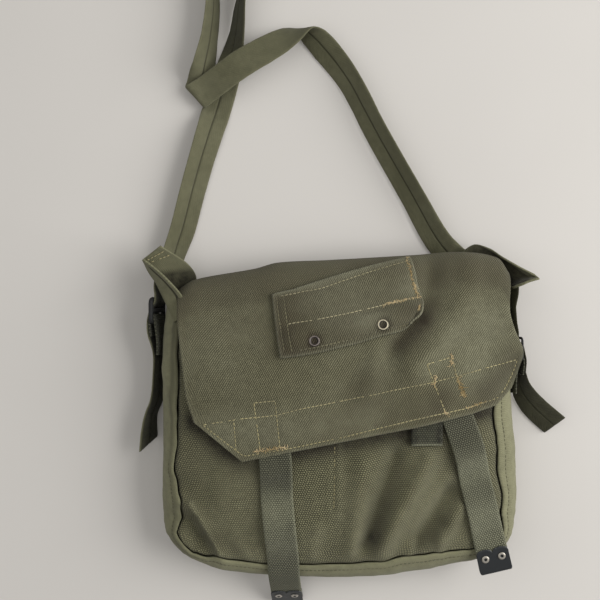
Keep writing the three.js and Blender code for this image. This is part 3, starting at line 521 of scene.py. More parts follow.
# Form of the flap
def flap_z(x, y):
    slack = 0.3 * noise(x / 27, y / 22, 31) + 0.14 * noise(x / 8, y / 8, 32)
    sewn = along_lines(FLAP_STITCHES, x, y, 1.5)
    dents = folds(FLAP_DENTS, x, y)
    return body_height(x, y) + FLAP_LIFT + folds(FLAP_FOLDS, x, y) + dents + slack - 0.45 * sewn


def crest_at(u):
    x = mix(FLAP_CREST["x"][0], FLAP_CREST["x"][-1], u)
    return x, follow(FLAP_CREST["x"], FLAP_CREST["y"], x)


def flap_front(u, v):
    """Between the roll, the two sides and the hem."""
    top = np.stack([mix(FLAP_LEFT[0, 0], FLAP_RIGHT[0, 0], u), crest_at(u)[1] - ROLL_DEPTH], -1)
    upper_ends = [np.array([ends[0, 0], crest_at(s)[1] - ROLL_DEPTH]) for ends, s in
                  ((FLAP_LEFT, 0.0), (FLAP_RIGHT, 1.0))]
    column = u * FLAP_COLUMNS
    hem = np.stack([np.interp(column, FLAP_HEM["column"], FLAP_HEM[axis]) for axis in "xy"], -1)
    sides = mix(spline(FLAP_LEFT, v), spline(FLAP_RIGHT, v), u[..., None])
    upper = mix(*upper_ends, u[..., None])
    lower = mix(FLAP_LEFT[-1], FLAP_RIGHT[-1], u[..., None])
    x, y = np.moveaxis(mix(top, hem, v[..., None]) + sides - mix(upper, lower, v[..., None]), -1, 0)
    return np.stack([x, y, flap_z(x, y)], -1)


def flap_roll(u, v):
    """From the back's upper edge over the mouth to the front part."""
    ends = inset_point(np.array([0.0, 1.0]), np.full(2, BACK_INSET + SEAM_GAP))
    seam = mix(ends[0], ends[1], u[..., None])
    start = np.stack([seam[..., 0], seam[..., 1] + SEAM_GAP, np.full(u.shape, FLAP_CANVAS / 2)], -1)
    end = flap_front(u, np.zeros(u.shape))
    crest_x, crest_y = crest_at(u)
    pull = (8 * crest_y - start[..., 1] - end[..., 1]) / 6
    low = np.stack([crest_x, pull, np.full(u.shape, ROLL_UNDERSIDE)], -1)
    high = np.stack([crest_x, pull, end[..., 2] - ROLL_DROP], -1)
    t = v[..., None]
    return (1 - t) ** 3 * start + 3 * (1 - t) ** 2 * t * low + 3 * (1 - t) * t**2 * high + t**3 * end


def flap_point(u, v):
    u, v = np.broadcast_arrays(np.asarray(u, float), np.asarray(v, float))
    roll = flap_roll(u, np.clip(v / ROLL_SHARE, 0, 1))
    front = flap_front(u, np.clip((v - ROLL_SHARE) / (1 - ROLL_SHARE), 0, 1))
    return np.where((v < ROLL_SHARE)[..., None], roll, front)


def normal_of(surface, u, v):
    step = 0.01
    across = surface(u + step, v) - surface(u - step, v)
    down = surface(u, v + step) - surface(u, v - step)
    return unit(np.cross(down, across))


def flap():
    u, v = grid("flap")
    place = flap_point(u, v)
    x, y = place[..., 0], place[..., 1]
    on_front = smooth((v - 0.34) / 0.1)
    hem = along_lines([HEM_LINE], x, y, 5) * on_front
    sides = along_lines([FLAP_LEFT, FLAP_RIGHT], x, y, 3) * on_front
    (x0, y0), *_, (x1, y1) = FLAP_STITCHES[0]
    band = smooth((mix(y0, y1, (x - x0) / (x1 - x0)) - y) / 12)
    patchy = 0.55 + 0.45 * noise(x / 10, y / 10, 41)
    # Painted shade: the roll over the mouth, which faces away from the light, is darkened.
    roll_shade = 1 - smooth((v - 0.28) / 0.1)
    marks = {
        "grime_and_shade": (0.22 * band + 0.3 * hem) * patchy + 0.45 * roll_shade + folds(FLAP_STAINS_AND_SHADOW, x, y) * on_front,
        "wear_and_light": 0.55 * along_lines([HEM_LINE], x, y, 1.6) + 0.4 * sides + folds(FLAP_FADES, x, y),
    }
    top = FLAP_CANVAS / 2 + 0.35 * smooth((hem - 0.3) / 0.3)
    return thick_sheet("flap_cloth", place, top, FLAP_CANVAS / 2, marks)


# The patch pocket and its eyelets
def pocket_place(u, v):
    """Middle of the pocket's cloth. Its lower edge is bowed, and its lower right corner rounded off."""
    round_u, round_v = POCKET_ROUND
    a = np.clip((u - 1 + round_u) / round_u, 0, 1)
    b = np.clip((v - 1 + round_v) / round_v, 0, 1)
    u = u - round_u * (a - a * np.sqrt(1 - b * b / 2))
    v = v - round_v * (b - b * np.sqrt(1 - a * a / 2))
    corner = {name: np.array(place) for name, place in POCKET.items()}
    upper = mix(corner["top_left"], corner["top_right"], u[..., None])
    lower = mix(corner["bottom_left"], corner["bottom_right"], u[..., None])
    across, down = np.moveaxis(mix(upper, lower, v[..., None]), -1, 0)
    down = down + POCKET_BOW * 4 * u * (1 - u) * v
    facing = normal_of(flap_point, across, down)
    curl = POCKET_CURL["corner"] * smooth((u - 0.62) / 0.38) * smooth((v - 0.5) / 0.5)
    curl = curl + POCKET_CURL["edge"] * smooth((v - 0.6) / 0.4)
    lift = FLAP_CANVAS / 2 + POCKET_GAP + POCKET_CANVAS / 2 + curl
    return flap_point(across, down) + facing * lift[..., None]


# Stitch lines on the pocket, as shares across and down. The first two are of pale thread
POCKET_SEAM = (0.53, 0.56)
POCKET_LINES = [
    ([0.05, 0.97], [0.065, 0.065]), ([0.08, 0.985], POCKET_SEAM), ([0.025, 0.03], [0.05, 0.93]),
    ([0.075, 0.08], [0.05, 0.93]), ([0.1, 0.9], [0.935, 0.93]), ([0.975, 0.975], [0.06, 0.75]),
]
PALE_LINES = 2
POCKET_SIZE = (116.0, 55.0)


def pocket_line(line):
    return [np.interp(np.linspace(0, 1, 60), (0, 1), ends) for ends in line]


def from_eyelets(u, v):
    """Distance on the pocket from the nearest eyelet's middle."""
    wide, tall = POCKET_SIZE
    return np.minimum.reduce([np.hypot((u - a) * wide, (v - b) * tall) for a, b in EYELETS.values()])


def pocket_top(u, v):
    """How far the pocket's upper face lies from its middle: two soft puffs, a lip and a crease."""
    wide, tall = POCKET_SIZE
    lines = [list(zip(np.array(a) * wide, np.array(b) * tall)) for a, b in POCKET_LINES]
    sewn = along_lines(lines, u * wide, v * tall, 1.1)
    seam = mix(*POCKET_SEAM, u)
    upper = np.sin(np.pi * np.clip((v - 0.065) / (seam - 0.065), 0, 1))
    lower = np.sin(np.pi * np.clip((v - seam) / (0.94 - seam), 0, 1))
    ends = smooth(u * wide / 12) * smooth((1 - u) * wide / 8)
    crease = bell((v - seam - 0.05) * tall, 1.7) * smooth((u - 0.4) / 0.3)
    lip = bell((1 - v) * tall, 1.5)
    dimple = bell(from_eyelets(u, v), 8)
    puff = (1.3 * upper + 2.3 * lower) * ends * (1 - 0.8 * dimple) + 0.25 * noise(u * 6, v * 4, 51)
    return POCKET_CANVAS / 2 - 0.3 + puff + 0.7 * lip - 0.5 * sewn - 0.9 * crease


def pocket_face(u, v):
    return pocket_place(u, v) + normal_of(pocket_place, u, v) * pocket_top(u, v)[..., None]


def pocket():
    u, v = grid("pocket")
    wide, tall = POCKET_SIZE
    edge = np.minimum(np.minimum(u, 1 - u) * wide, np.minimum(v, 1 - v) * tall)
    patchy = 0.5 + 0.5 * noise(u * 12, v * 6, 52)
    brown = bell(u, 0.3) + bell(u - 0.93, 0.09) * bell(v - 0.75, 0.12)
    # Painted highlight: pale patches on the lower puff and at the right stand in for light on the cloth.
    pale = bell(u - 0.62, 0.13) * bell(v - 0.72, 0.14) + bell(u - 0.93, 0.07) * bell(v - 0.38, 0.14)
    # Painted shade: dark inside the eyelets' holes and in a ring just round them.
    away = from_eyelets(u, v)
    hole_shade = 1.4 * smooth((3.6 - away) / 0.8) + 0.5 * bell(away - 5, 2)
    marks = {
        "grime_and_shade": (0.3 * np.exp(-edge / 4) + 0.25 * smooth((v - 0.5) / 0.1)) * patchy + 0.4 * brown + hole_shade,
        "wear_and_light": 0.8 * np.exp(-edge / 1.1) + 0.5 * bell(v * tall, 3) + 0.7 * pale,
    }
    return thick_sheet("pocket_cloth", pocket_place(u, v), pocket_top(u, v), POCKET_CANVAS / 2, marks)


# Mesh makers
def new_object(name, vertices, faces, uv=None, marks=None):
    mesh = bpy.data.meshes.new(name)
    mesh.from_pydata((np.asarray(vertices) * MM).tolist(), [], [list(map(int, face)) for face in faces])
    if uv is not None:
        index = np.empty(len(mesh.loops), int)
        mesh.loops.foreach_get("vertex_index", index)
        layer = mesh.uv_layers.new(name="UVMap")
        layer.data.foreach_set("uv", (np.asarray(uv)[index] * MM).ravel())
    for mark, values in (marks or {}).items():
        attribute = mesh.attributes.new(mark, "FLOAT", "POINT")
        attribute.data.foreach_set("value", np.clip(values, 0, 1).astype(np.float32))
    mesh.polygons.foreach_set("use_smooth", [True] * len(mesh.polygons))
    mesh.update()
    made = bpy.data.objects.new(name, mesh)
    bpy.context.scene.collection.objects.link(made)
    return made


def facing_out(vertices, faces):
    """Quads turned so that the closed mesh they make faces out."""
    a, b, c, d = (vertices[faces[:, k]] for k in range(4))
    volume = np.einsum("ij,ij->", a, np.cross(b, c)) + np.einsum("ij,ij->", a, np.cross(c, d))
    return faces if volume > 0 else faces[:, ::-1]


def thick_sheet(name, middle, top, bottom, marks, flip=False):
    """Cloth as a closed mesh with a rounded rim. Its faces lie top and bottom away from its middle.

    A mark is one value for both faces, or a pair for the upper and the lower one.
    """
    rows, columns = middle.shape[:2]
    along, down = np.gradient(middle, axis=1), np.gradient(middle, axis=0)
    normal = unit(np.cross(down, along)) * (-1 if flip else 1)
    top, bottom = (np.broadcast_to(height, (rows, columns)) for height in (top, bottom))
    upper = (middle + normal * top[..., None]).reshape(-1, 3)
    lower = (middle - normal * bottom[..., None]).reshape(-1, 3)
    count = rows * columns
    cells = np.arange(count).reshape(rows, columns)
    ring = np.concatenate([cells[0, :-1], cells[:-1, -1], cells[-1, :0:-1], cells[:0:-1, 0]])
    j, i = np.divmod(ring, columns)
    outward = unit(middle[j, i] - middle[np.clip(j, 1, rows - 2), np.clip(i, 1, columns - 2)])
    half, lean = ((top + bottom)[j, i, None] / 2, (top - bottom)[j, i, None] / 2)
    rim = middle[j, i] + normal[j, i] * lean + outward * RIM_ROUND * half
    n = cells[:-1, :-1].ravel()
    quads = np.stack([n, n + 1, n + 1 + columns, n + columns], -1)
    ahead = np.roll(ring, -1)
    edge = 2 * count + np.arange(len(ring))
    edge_ahead = np.roll(edge, -1)
    faces = np.vstack([
        quads, quads[:, ::-1] + count,
        np.stack([ahead, ring, edge, edge_ahead], -1),
        np.stack([edge_ahead, edge, ring + count, ahead + count], -1),
    ])
    vertices = np.vstack([upper, lower, rim])

    def arc(axis):
        steps = np.linalg.norm(np.diff(middle, axis=axis), axis=-1)
        run = np.insert(np.cumsum(steps, axis=axis), 0, 0, axis=axis)
        return run - np.take(run, [run.shape[axis] // 2], axis=axis)

    def spread(mark):
        pair = mark if isinstance(mark, tuple) else (mark, mark)
        above, below = (np.broadcast_to(face, (rows, columns)) for face in pair)
        return np.concatenate([above.ravel(), below.ravel(), above[j, i]])

    uv = np.stack([arc(1), -arc(0)], -1).reshape(-1, 2)
    uv = np.vstack([uv, uv, uv[ring]])
    marks = {key: spread(mark) for key, mark in {"grime_and_shade": 0.0, "wear_and_light": 0.0, **marks}.items()}
    return new_object(name, vertices, facing_out(vertices, faces), uv, marks)


def ribbon(name, places, across, width, top, bottom, marks):
    middle = places[:, None] + across[:, None] * (RIBBON / 2 * width)[None, :, None]
    return thick_sheet(name, middle, top, bottom, marks)


def stations(places, across, count):
    """Evenly many stations on smooth curves through given ones."""
    t = np.linspace(0, 1, count + 1)
    spans = np.linspace(0, 1, len(across))
    return spline(places, t), unit(read_along(t, spans, across))


def joined(name, parts, marks=None):
    """One object from several vertex and face lists."""
    vertices, faces, start = [], [], 0
    for points, quads in parts:
        vertices.append(points)
        faces.extend([[start + n for n in face] for face in quads])
        start += len(points)
    return new_object(name, np.vstack(vertices), faces, marks=marks)


def ring_faces(rings, sides, closed):
    """Quads between rings of points, and two end caps unless the last ring meets the first."""
    faces = []
    for n in range(rings if closed else rings - 1):
        here, ahead = n * sides, (n + 1) % rings * sides
        for k in range(sides):
            q = (k + 1) % sides
            faces.append([here + k, here + q, ahead + q, ahead + k])
    if not closed:
        faces.append(list(range(sides))[::-1])
        faces.append([(rings - 1) * sides + k for k in range(sides)])
    return faces


def tube(points, radius, sides, up, closed=False, flat=1.0):
    """Vertices and faces of a round or flattened tube along points."""
    if closed:
        heading = unit(np.roll(points, -1, 0) - np.roll(points, 1, 0))
    else:
        heading = unit(np.gradient(points, axis=0))
    side = unit(np.cross(heading, up))
    lift = np.cross(side, heading) * flat
    angle = np.linspace(0, 2 * math.pi, sides, endpoint=False)[None, :, None]
    radius = np.broadcast_to(radius, len(points))[:, None, None]
    rings = points[:, None] + radius * (side[:, None] * np.cos(angle) + lift[:, None] * np.sin(angle))
    return rings.reshape(-1, 3), ring_faces(len(points), sides, closed)


def lathe(profile, place, facing, sides):
    """A closed ring turned about facing: profile lists radius and height, and closes on itself."""
    facing = unit(np.asarray(facing, float))
    side = unit(np.cross(facing, (0.3, 1, 0.1)))
    third = np.cross(facing, side)
    angle = np.linspace(0, 2 * math.pi, sides, endpoint=False)
    spoke = side[None] * np.cos(angle)[:, None] + third[None] * np.sin(angle)[:, None]
    rings = [np.asarray(place) + spoke * r + facing * z for r, z in profile]
    return np.vstack(rings), [[a, d, c, b] for a, b, c, d in ring_faces(len(profile), sides, True)]


# Stitches and loose threads
SEEDS = dict(front=50, ear=70, pocket=30, gusset=60, pocket_fray=20)
STITCH = dict(length=2.9, period=3.5, width=0.46, height=0.36, sides=6)
STITCH_RINGS = [(-0.5, 0.35), (-0.36, 0.85), (0, 1.0), (0.36, 0.85), (0.5, 0.35)]


def resampled(points, normals, period):
    """Places, headings and normals at even steps along a line."""
    run = run_along(points)
    at = np.arange(period / 2, run[-1] - period / 4, period)
    heading = unit(read_along(at + 0.4, run, points) - read_along(at - 0.4, run, points))
    return read_along(at, run, points), heading, unit(read_along(at, run, normals))


def stitch_row(points, normals, seed, missing=0.04):
    """Vertices and faces of a row of stitches that lie on a surface and dip at their ends."""
    random = np.random.default_rng(seed)
    sides = STITCH["sides"]
    angle = np.linspace(0, 2 * math.pi, sides, endpoint=False)[:, None]
    faces = ring_faces(len(STITCH_RINGS), sides, False)
    parts = []
    for place, heading, facing in zip(*resampled(points, normals, STITCH["period"])):
        if random.random() < missing:
            continue
        side = unit(np.cross(facing, heading))
        length = STITCH["length"] * random.uniform(0.85, 1.12)
        skew = heading + side * random.normal(0, 0.05)
        section = side * STITCH["width"] * np.cos(angle) + facing * STITCH["height"] * np.sin(angle)
        rings = []
        for share, fat in STITCH_RINGS:
            middle = place + skew * share * length + facing * (0.12 - 1.1 * share * share)
            rings.append(middle + fat * section)
        parts.append((np.vstack(rings), faces))
    return parts


def fine(points, step=2.0):
    """A polyline with points every few millimetres."""
    points = np.asarray(points, float)
    run = run_along(points)
    at = np.linspace(0, run[-1], max(2, int(run[-1] / step) + 1))
    return read_along(at, run, points)


def on_heights(height, x, y, lift):
    """Places and normals of points seen from above that lie on a height field."""
    d = 0.5
    slope_x = (height(x + d, y) - height(x - d, y)) / (2 * d)
    slope_y = (height(x, y + d) - height(x, y - d)) / (2 * d)
    normals = unit(np.stack([-slope_x, -slope_y, np.ones(len(x))], -1))
    return np.stack([x, y, height(x, y)], -1) + normals * lift, normals


def on_surface(surface, u, v, lift, flip=False):
    """Places and normals of points given by shares of a surface."""
    normals = normal_of(surface, u, v) * (-1 if flip else 1)
    return surface(u, v) + normals * lift, normals


def tuft(place, facing, heading, seed, length):
    """A knot of frayed thread ends."""
    random = np.random.default_rng(seed)
    side = unit(np.cross(facing, heading))
    t = np.linspace(0, 1, 6)[:, None]
    parts = []
    for _ in range(TUFT["ends"]):
        start = place + heading * random.normal(0, TUFT["spread"]) + side * random.normal(0, 0.5)
        lean = heading * random.normal(0, 1) + side * random.normal(0, 0.6)
        lean = unit(lean + facing * random.uniform(0.05, 0.5))
        bend = side * random.normal(0, 0.25) + heading * random.normal(0, 0.2)
        size = length * random.uniform(0.4, 1.0)
        points = start + lean * size * t + bend * size * t * t - facing * 0.25 * size * t * t
        parts.append(tube(points, np.linspace(*TUFT["radius"], 6), TUFT["sides"], facing))
    return parts


def fray(line, surface, seed):
    """Tufts along a line on a surface."""
    x0, y0, x1, y1, count, length = line
    t = np.linspace(0, 1, count)
    places, facings = surface(mix(x0, x1, t), mix(y0, y1, t))
    heading = unit(places[-1] - places[0])
    return sum((tuft(place, facing, heading, 100 * seed + n, length)
                for n, (place, facing) in enumerate(zip(places, facings))), [])


# Straps
def lay_on_front(x, y, half, lift):
    slope = (body_height(x + half, y) - body_height(x - half, y)) / (2 * half)
    return [x, y, front_height(x, y) + lift], unit(np.array([1, 0, slope]))


def closing_stations(strap, count):
    """Places and directions across a closing strap, which lies on the front and then hangs."""
    lift = CANVAS / 2 + LAY_GAP + WEBBING / 2
    lying = [lay_on_front(x, y, WEBBING_WIDTH / 2, lift) for x, y in np.array(strap["lying"], float)]
    places = np.array([place for place, _ in lying] + strap["hanging"], float)
    across = np.array([turn for _, turn in lying] + [[1, 0, 0]] * len(strap["hanging"]), float)
    n = np.arange(len(places))
    heading = unit(places[np.minimum(n + 1, len(n) - 1)] - places[np.maximum(n - 1, 0)])
    across = unit(across - heading * np.sum(across * heading, axis=1, keepdims=True))
    across[len(lying):] = across[-1]
    return stations(places, across, count)


def closing_strap(side, strap):
    places, across = closing_stations(strap, WEBBING_ROWS)
    x, y = places[:, :1], places[:, 1:2]
    s = np.abs(RIBBON)
    thick = WEBBING / 2 * np.where(s > 0.9, 0.8, 1.0)
    run = np.linspace(0, 7, len(places))[:, None]
    waves = 0.3 * noise(run, np.linspace(0, 1.5, len(s))[None], 62)
    marks = {
        "grime_and_shade": folds(STRAP_STAINS_AND_SHADE[side], x, y),
        "wear_and_light": 0.5 * smooth((s - 0.86) / 0.1) + folds(STRAP_FADES_AND_LIGHT[side], x, y),
    }
    places = places + np.array([0, 0, 1.0]) * folds(STRAP_WAVES[side], x, y)
    name = f"closing_webbing_{side}"
    return ribbon(name, places, across, WEBBING_WIDTH, thick + waves, thick - waves, marks)


def tip_frame(strap):
    """The strap's end, and the directions to its right, up along it and out of it."""
    places, across = closing_stations(strap, 30)
    up = unit(places[-5] - places[-1])
    facing = unit(np.cross(across[-1], up))
    side = unit(np.cross(up, facing))
    return places[-1], side, np.cross(facing, side), facing


def strap_tip(side, strap):
    """Sheet metal folded round the strap's end, with two lobes on each face."""
    origin, right, up, facing = tip_frame(strap)
    plate, corner, half_width = TIP["plate"], TIP["round"], TIP["width"] / 2
    half_gap = (TIP["slot"] + plate) / 2
    x = np.linspace(-1, 1, 65)
    lobes = np.sqrt(np.maximum(0, 1 - ((np.abs(x) - 0.5) / 0.5) ** 2)) ** 0.8
    fold = half_gap - TIP["fold"] - LAY_GAP
    end = TIP["length"] + TIP["lobe"] * lobes + fold - half_gap
    face = mix(end, fold, np.linspace(0, 1, 15)[:, None])
    turn = np.linspace(0, math.pi, 13)[1:-1, None]
    along = np.vstack([face, fold - half_gap * np.sin(turn) + 0 * x, face[::-1]])
    rise = half_gap * np.vstack([np.ones((len(face), 1)), np.cos(turn), -np.ones((len(face), 1))])
    below = np.clip(corner - (along - fold + half_gap), 0, corner)
    across = x * (half_width - corner + np.sqrt(corner**2 - below**2))
    middle = origin + right * across[..., None] + up * along[..., None] + facing * rise[..., None]
    edge = np.minimum((1 - np.abs(x)) * half_width, np.abs(end - along))
    marks = {"wear_and_light": 0.9 * np.exp(-edge / 0.5) + 0.45 * np.exp(-np.maximum(along + 2, 0) / 0.8)}
    return thick_sheet(f"tip_plate_{side}", middle, plate / 2, plate / 2, marks)


# Turned metal: radius, height over the cloth's middle, and how far the paint is rubbed off; on the eyelets
# this is a painted highlight
RIVET_PROFILE = [
    (0.95, 1.2, 0), (0.95, 2.6, 0), (1.15, 3.0, 0.3), (1.7, 3.2, 1), (2.5, 3.1, 1), (3.1, 2.75, 0.8),
    (3.4, 2.35, 0), (3.2, 2.2, 0), (2.0, 2.2, 0),
]
# The eyelet's rubbed band on the crest of its roll is a painted highlight, standing in for the light that the
# crest reflects.
EYELET_PROFILE = [
    (2.55, -1.4, 0), (2.75, -1.4, 0), (2.95, 1.0, 0), (3.3, 1.35, 0), (4.6, 1.3, 0), (4.75, 1.55, 0),
    (4.6, 1.95, 0), (4.2, 2.25, 0.9), (3.6, 2.3, 1), (3.1, 2.1, 0), (2.7, 1.7, 0), (2.5, 1.1, 0),
]


def turned(name, profile, place, facings):
    """Rings turned from a profile, one for each facing."""
    sides = 36
    rings = np.array(profile)
    parts = [lathe(rings[:, :2], place, facing, sides) for facing in facings]
    wear_and_light = np.tile(np.repeat(rings[:, 2], sides), len(parts))
    return joined(name, parts, marks={"wear_and_light": wear_and_light})


def rivets(side, strap):
    origin, right, up, facing = tip_frame(strap)
    for n, shift in enumerate((-1, 1), 1):
        place = origin + right * shift * RIVET["apart"] / 2 + up * (RIVET["from_end"] - TIP["fold"] - LAY_GAP)
        name = f"rivet_{side}_{n}"
        yield turned(name, RIVET_PROFILE, place, (facing, -facing)), f"tip_{name}"


def eyelet(name, spot):
    u, v = (np.array(share) for share in spot)
    facing = normal_of(pocket_place, u, v)
    return turned(f"{name}_ring", EYELET_PROFILE, pocket_face(u, v) - facing * POCKET_CANVAS / 2, (facing,))


def closure_tab():
    """Webbing doubled over at its lower end, where it is worn pale."""
    x, top, bottom = (CLOSURE_TAB[key] for key in ("x", "top", "bottom"))
    lower = CANVAS / 2 + LAY_GAP + TAB_WEBBING / 2
    upper = lower + TAB_WEBBING + 2 * LAY_GAP
    middle = (top + bottom) / 2
    rows = [(top, lower), (middle, lower), (bottom + 2, lower), (bottom, (lower + upper) / 2),
            (bottom + 2, upper), (middle, upper + 0.5), (top, upper)]
    given = [lay_on_front(x, y, TAB_WIDTH / 2, lift) for y, lift in rows]
    places, across = stations(*zip(*given), TAB_ROWS)
    turn = np.exp(-((np.linspace(-1, 1, len(places))[:, None] / 0.24) ** 4))
    # Painted shadow: the tab is darkened but for its turned lip, most at its sides, where the flap's hem
    # shades it.
    side_shade = smooth((np.abs(RIBBON) - 0.6) / 0.35)
    marks = {"wear_and_light": turn, "grime_and_shade": 0.85 * (1 - turn) + 0.8 * side_shade}
    half = TAB_WEBBING / 2
    return ribbon("closure_tab_webbing", places, across, TAB_WIDTH, half, half, marks)


def side_station(side, along, away):
    """Place and direction across at a slide: along it, and away from the bag."""
    lean = math.radians(side["lean"])
    out = side["out"]
    place = [side["x"] + out * away * math.cos(lean), side["y"] + along, BUCKLE["z"] - away * math.sin(lean)]
    return place, [out * math.sin(lean), 0, math.cos(lean)]


def buckle(name, side):
    """A wire slide: a rounded frame and a middle bar."""
    place, across = (np.array(value) for value in side_station(side, 0, 0))
    along = np.array([0.0, 1.0, 0.0])
    half_w = (BUCKLE["slot"] + BUCKLE["bar"]) / 2
    half_l = (BUCKLE["length"] - BUCKLE["bar"]) / 2
    corner = BUCKLE["corner"]
    outline = []
    for cx, cy, start in ((1, 1, 0), (-1, 1, 90), (-1, -1, 180), (1, -1, 270)):
        for angle in np.radians(np.linspace(start, start + 90, 8)):
            x, y = cx * (half_w - corner), cy * (half_l - corner)
            outline.append([x + corner * math.cos(angle), y + corner * math.sin(angle)])
    outline = fine(outline + outline[:1], 1.6)[:-1]
    wire = dict(radius=side["wire"] / 2, sides=10, up=np.cross(across, along), flat=0.92)
    return joined(name, [
        tube(place + across * outline[:, :1] + along * outline[:, 1:], closed=True, **wire),
        tube(place + across * np.linspace(-half_w, half_w, 9)[:, None], **wire),
    ])


def buckle_tab(name, side):
    """Webbing wrapped round the slide's lower bar."""
    bar = -(BUCKLE["length"] - BUCKLE["bar"]) / 2
    tail, seat, wrap, end = (CHAPE[key] for key in ("tail", "seat", "wrap", "end"))
    rows = [(tail, -seat), ((2 * tail + bar) / 3, -seat), (bar - 1, -wrap), (bar + 0.7 * wrap, -0.7 * wrap),
            (bar + 2.5 * wrap, 0), (bar + 0.7 * wrap, 0.7 * wrap), (bar - 1, wrap), (end, wrap - 0.9)]
    given = [side_station(side, along, away) for along, away in rows]
    places, across = stations(*zip(*given), TAB_ROWS)
    # Painted shade: the whole tab is darkened so that it reads as lying in shadow.
    return ribbon(name, places, across, TAB_WIDTH, TAB_WEBBING / 2, TAB_WEBBING / 2, {"grime_and_shade": 0.8})


def route_station(row):
    """Place and direction across of a strap that stands on its lower edge."""
    x, y, lift, azimuth, elevation = row
    azimuth, elevation = math.radians(azimuth), math.radians(elevation)
    level, rise = math.cos(elevation), math.sin(elevation)
    z = lift + (STRAP_WIDTH * abs(rise) + STRAP_CANVAS * level) / 2
    return [x, y, z], [level * math.cos(azimuth), level * math.sin(azimuth), rise]


def strap_route():
    left, right = ([side_station(side, *row) for row in SLIDE_RUN] for side in SIDES.values())
    given = [route_station(row) for row in LEFT_TAIL] + left
    given += [route_station(row) for row in STRAP_LOOP] + right[::-1]
    given += [route_station(row) for row in RIGHT_TAIL]
    return stations(*zip(*given), STRAP_STEPS * (len(given) - 1))


# The shoulder strap's slanting end, its darkened stretches (the tail, and painted shade on the loop's right
# strand and beside the right gusset) and the stretch whose edges curl up
TAIL_CUT = dict(slant=13.0, reach=26.0)
TAIL_DARK = 152.0
RIGHT_SHADE = 138.0
LOOP_SHADE = dict(low=312.0, left=-106.0, right=-76.0)
EDGE_CURL = dict(low=140.0, high=262.0, height=1.5)


def shoulder_strap():
    """Canvas folded to a strap: its two folds meet in a seam along the middle of one face."""
    places, across = strap_route()
    s = np.linspace(-1, 1, 29)
    run = run_along(places)[:, None]
    cut = TAIL_CUT["slant"] * (1 - s) / 2 * np.clip(1 - run / TAIL_CUT["reach"], 0, 1)

    def at(values):
        return read_along(run + cut, run[:, 0], values)

    x, y = places[:, :1], places[:, 1:2]
    facing = unit(np.cross(np.gradient(places, axis=0), across))
    curled = smooth((y - EDGE_CURL["low"]) / 25) * (1 - smooth((y - EDGE_CURL["high"]) / 14))
    curl = EDGE_CURL["height"] * curled * (np.abs(s) - 0.5)
    middle = at(places) + at(across) * (s * STRAP_WIDTH / 2)[None, :, None]
    middle = middle + facing[:, None] * curl[..., None]
    round_edge = np.sqrt(np.maximum(0.15, 1 - np.maximum(0, (np.abs(s) - 0.86) / 0.14) ** 2))
    wave = 0.15 * noise(run / 13, s[None] * 3, 71)
    top = STRAP_CANVAS / 2 * round_edge * (1.15 - 0.95 * bell(s, 0.045)) + wave
    # The tail is darker along its first stretch, on both faces.
    tail = 0.9 * (1 - smooth((run - TAIL_DARK) / 14)) * (1 - smooth((s - 0.9) / 0.08))
    # Painted shade: the loop's right strand beyond y 312, which faces away from the light, and the run beside
    # the right gusset, in the bag's shadow, are darkened.
    loop_shade = 0.7 * smooth((y - LOOP_SHADE["low"]) / 14)
    loop_shade = loop_shade * smooth((x - LOOP_SHADE["left"]) / 6) * smooth((LOOP_SHADE["right"] - x) / 4)
    right = 0.75 * smooth((x - RIGHT_SHADE) / 8)
    dirt_and_shade = np.maximum(np.maximum(tail, loop_shade), right)
    marks = {
        "grime_and_shade": (np.maximum(0.95 * bell(s, 0.05), dirt_and_shade), dirt_and_shade),
        "wear_and_light": 0.4 * smooth((np.abs(s) - 0.88) / 0.1) * (1 - smooth((x - 140) / 10)),
    }
    return thick_sheet("shoulder_strap_canvas", middle, top, STRAP_CANVAS / 2 * round_edge, marks), places


EAR_FOLD = 0.06
EAR_HEM = 5.0
EAR_STITCHES = (0.965, 0.925)


def ear_place(ear, u, v):
    """Flat stretches from rail to rail, with a soft bend at each rail between them."""
    def soft(t):
        return t + np.sqrt(t * t + EAR_FOLD**2)

    curves = [spline(rail, v) for rail in ear["rails"]]
    place = curves[0]
    for n, (a, b) in enumerate(zip(ear["shares"][:-1], ear["shares"][1:])):
        climb, start, end = (soft(t - a) - soft(t - b) for t in (u, 0.0, 1.0))
        place = place + (curves[n + 1] - curves[n]) * ((climb - start) / (end - start))[..., None]
    return place


def ear_cloth(name, ear):
    """A free end of the gusset, with a slit beside the hem of its front edge, and painted shade darkening the
    inside of its fold and the slit.
    """
    u, v = grid("ear")
    place = ear_place(ear, u, v)
    from_hem = np.linalg.norm(place - place[:, -1:], axis=-1) + 30 * smooth((0.52 - u) / 0.04)
    hem = 1 - smooth((from_hem - EAR_HEM + 1.4) / 0.6)
    slit = np.exp(-(((from_hem - EAR_HEM) / 1.2) ** 4)) * smooth((0.9 - v) / 0.06)
    thick = EAR_CANVAS / 2 * (1 - 0.6 * slit) + 0.2 * noise(u * 6, v * 5, 81)
    # Painted shade: the inside of the fold, deepest at the middle rail, and the slit are darkened where shade
    # falls.
    fold_shade = ear["dirt_and_shade"] * smooth((0.84 - v) / 0.2) + 0.5 * np.exp(-np.abs(u - 0.5) / 0.12)
    tip = np.exp(-(1 - v) / 0.04)
    body = smooth((u - 0.55) / 0.1) * (1 - hem)
    marks = {
        "grime_and_shade": (np.maximum(fold_shade * (1 - hem), 2.5 * slit), 2.5 * slit + ear["lower_face_shade"] * (1 - hem)),
        "wear_and_light": (0.4 * hem + 0.4 * tip + 0.4 * np.exp(-u / 0.03), 0.4 * hem + 0.35 * body * (1 - slit)),
    }
    return thick_sheet(name, place, thick, thick, marks, flip=ear["mirrored"])


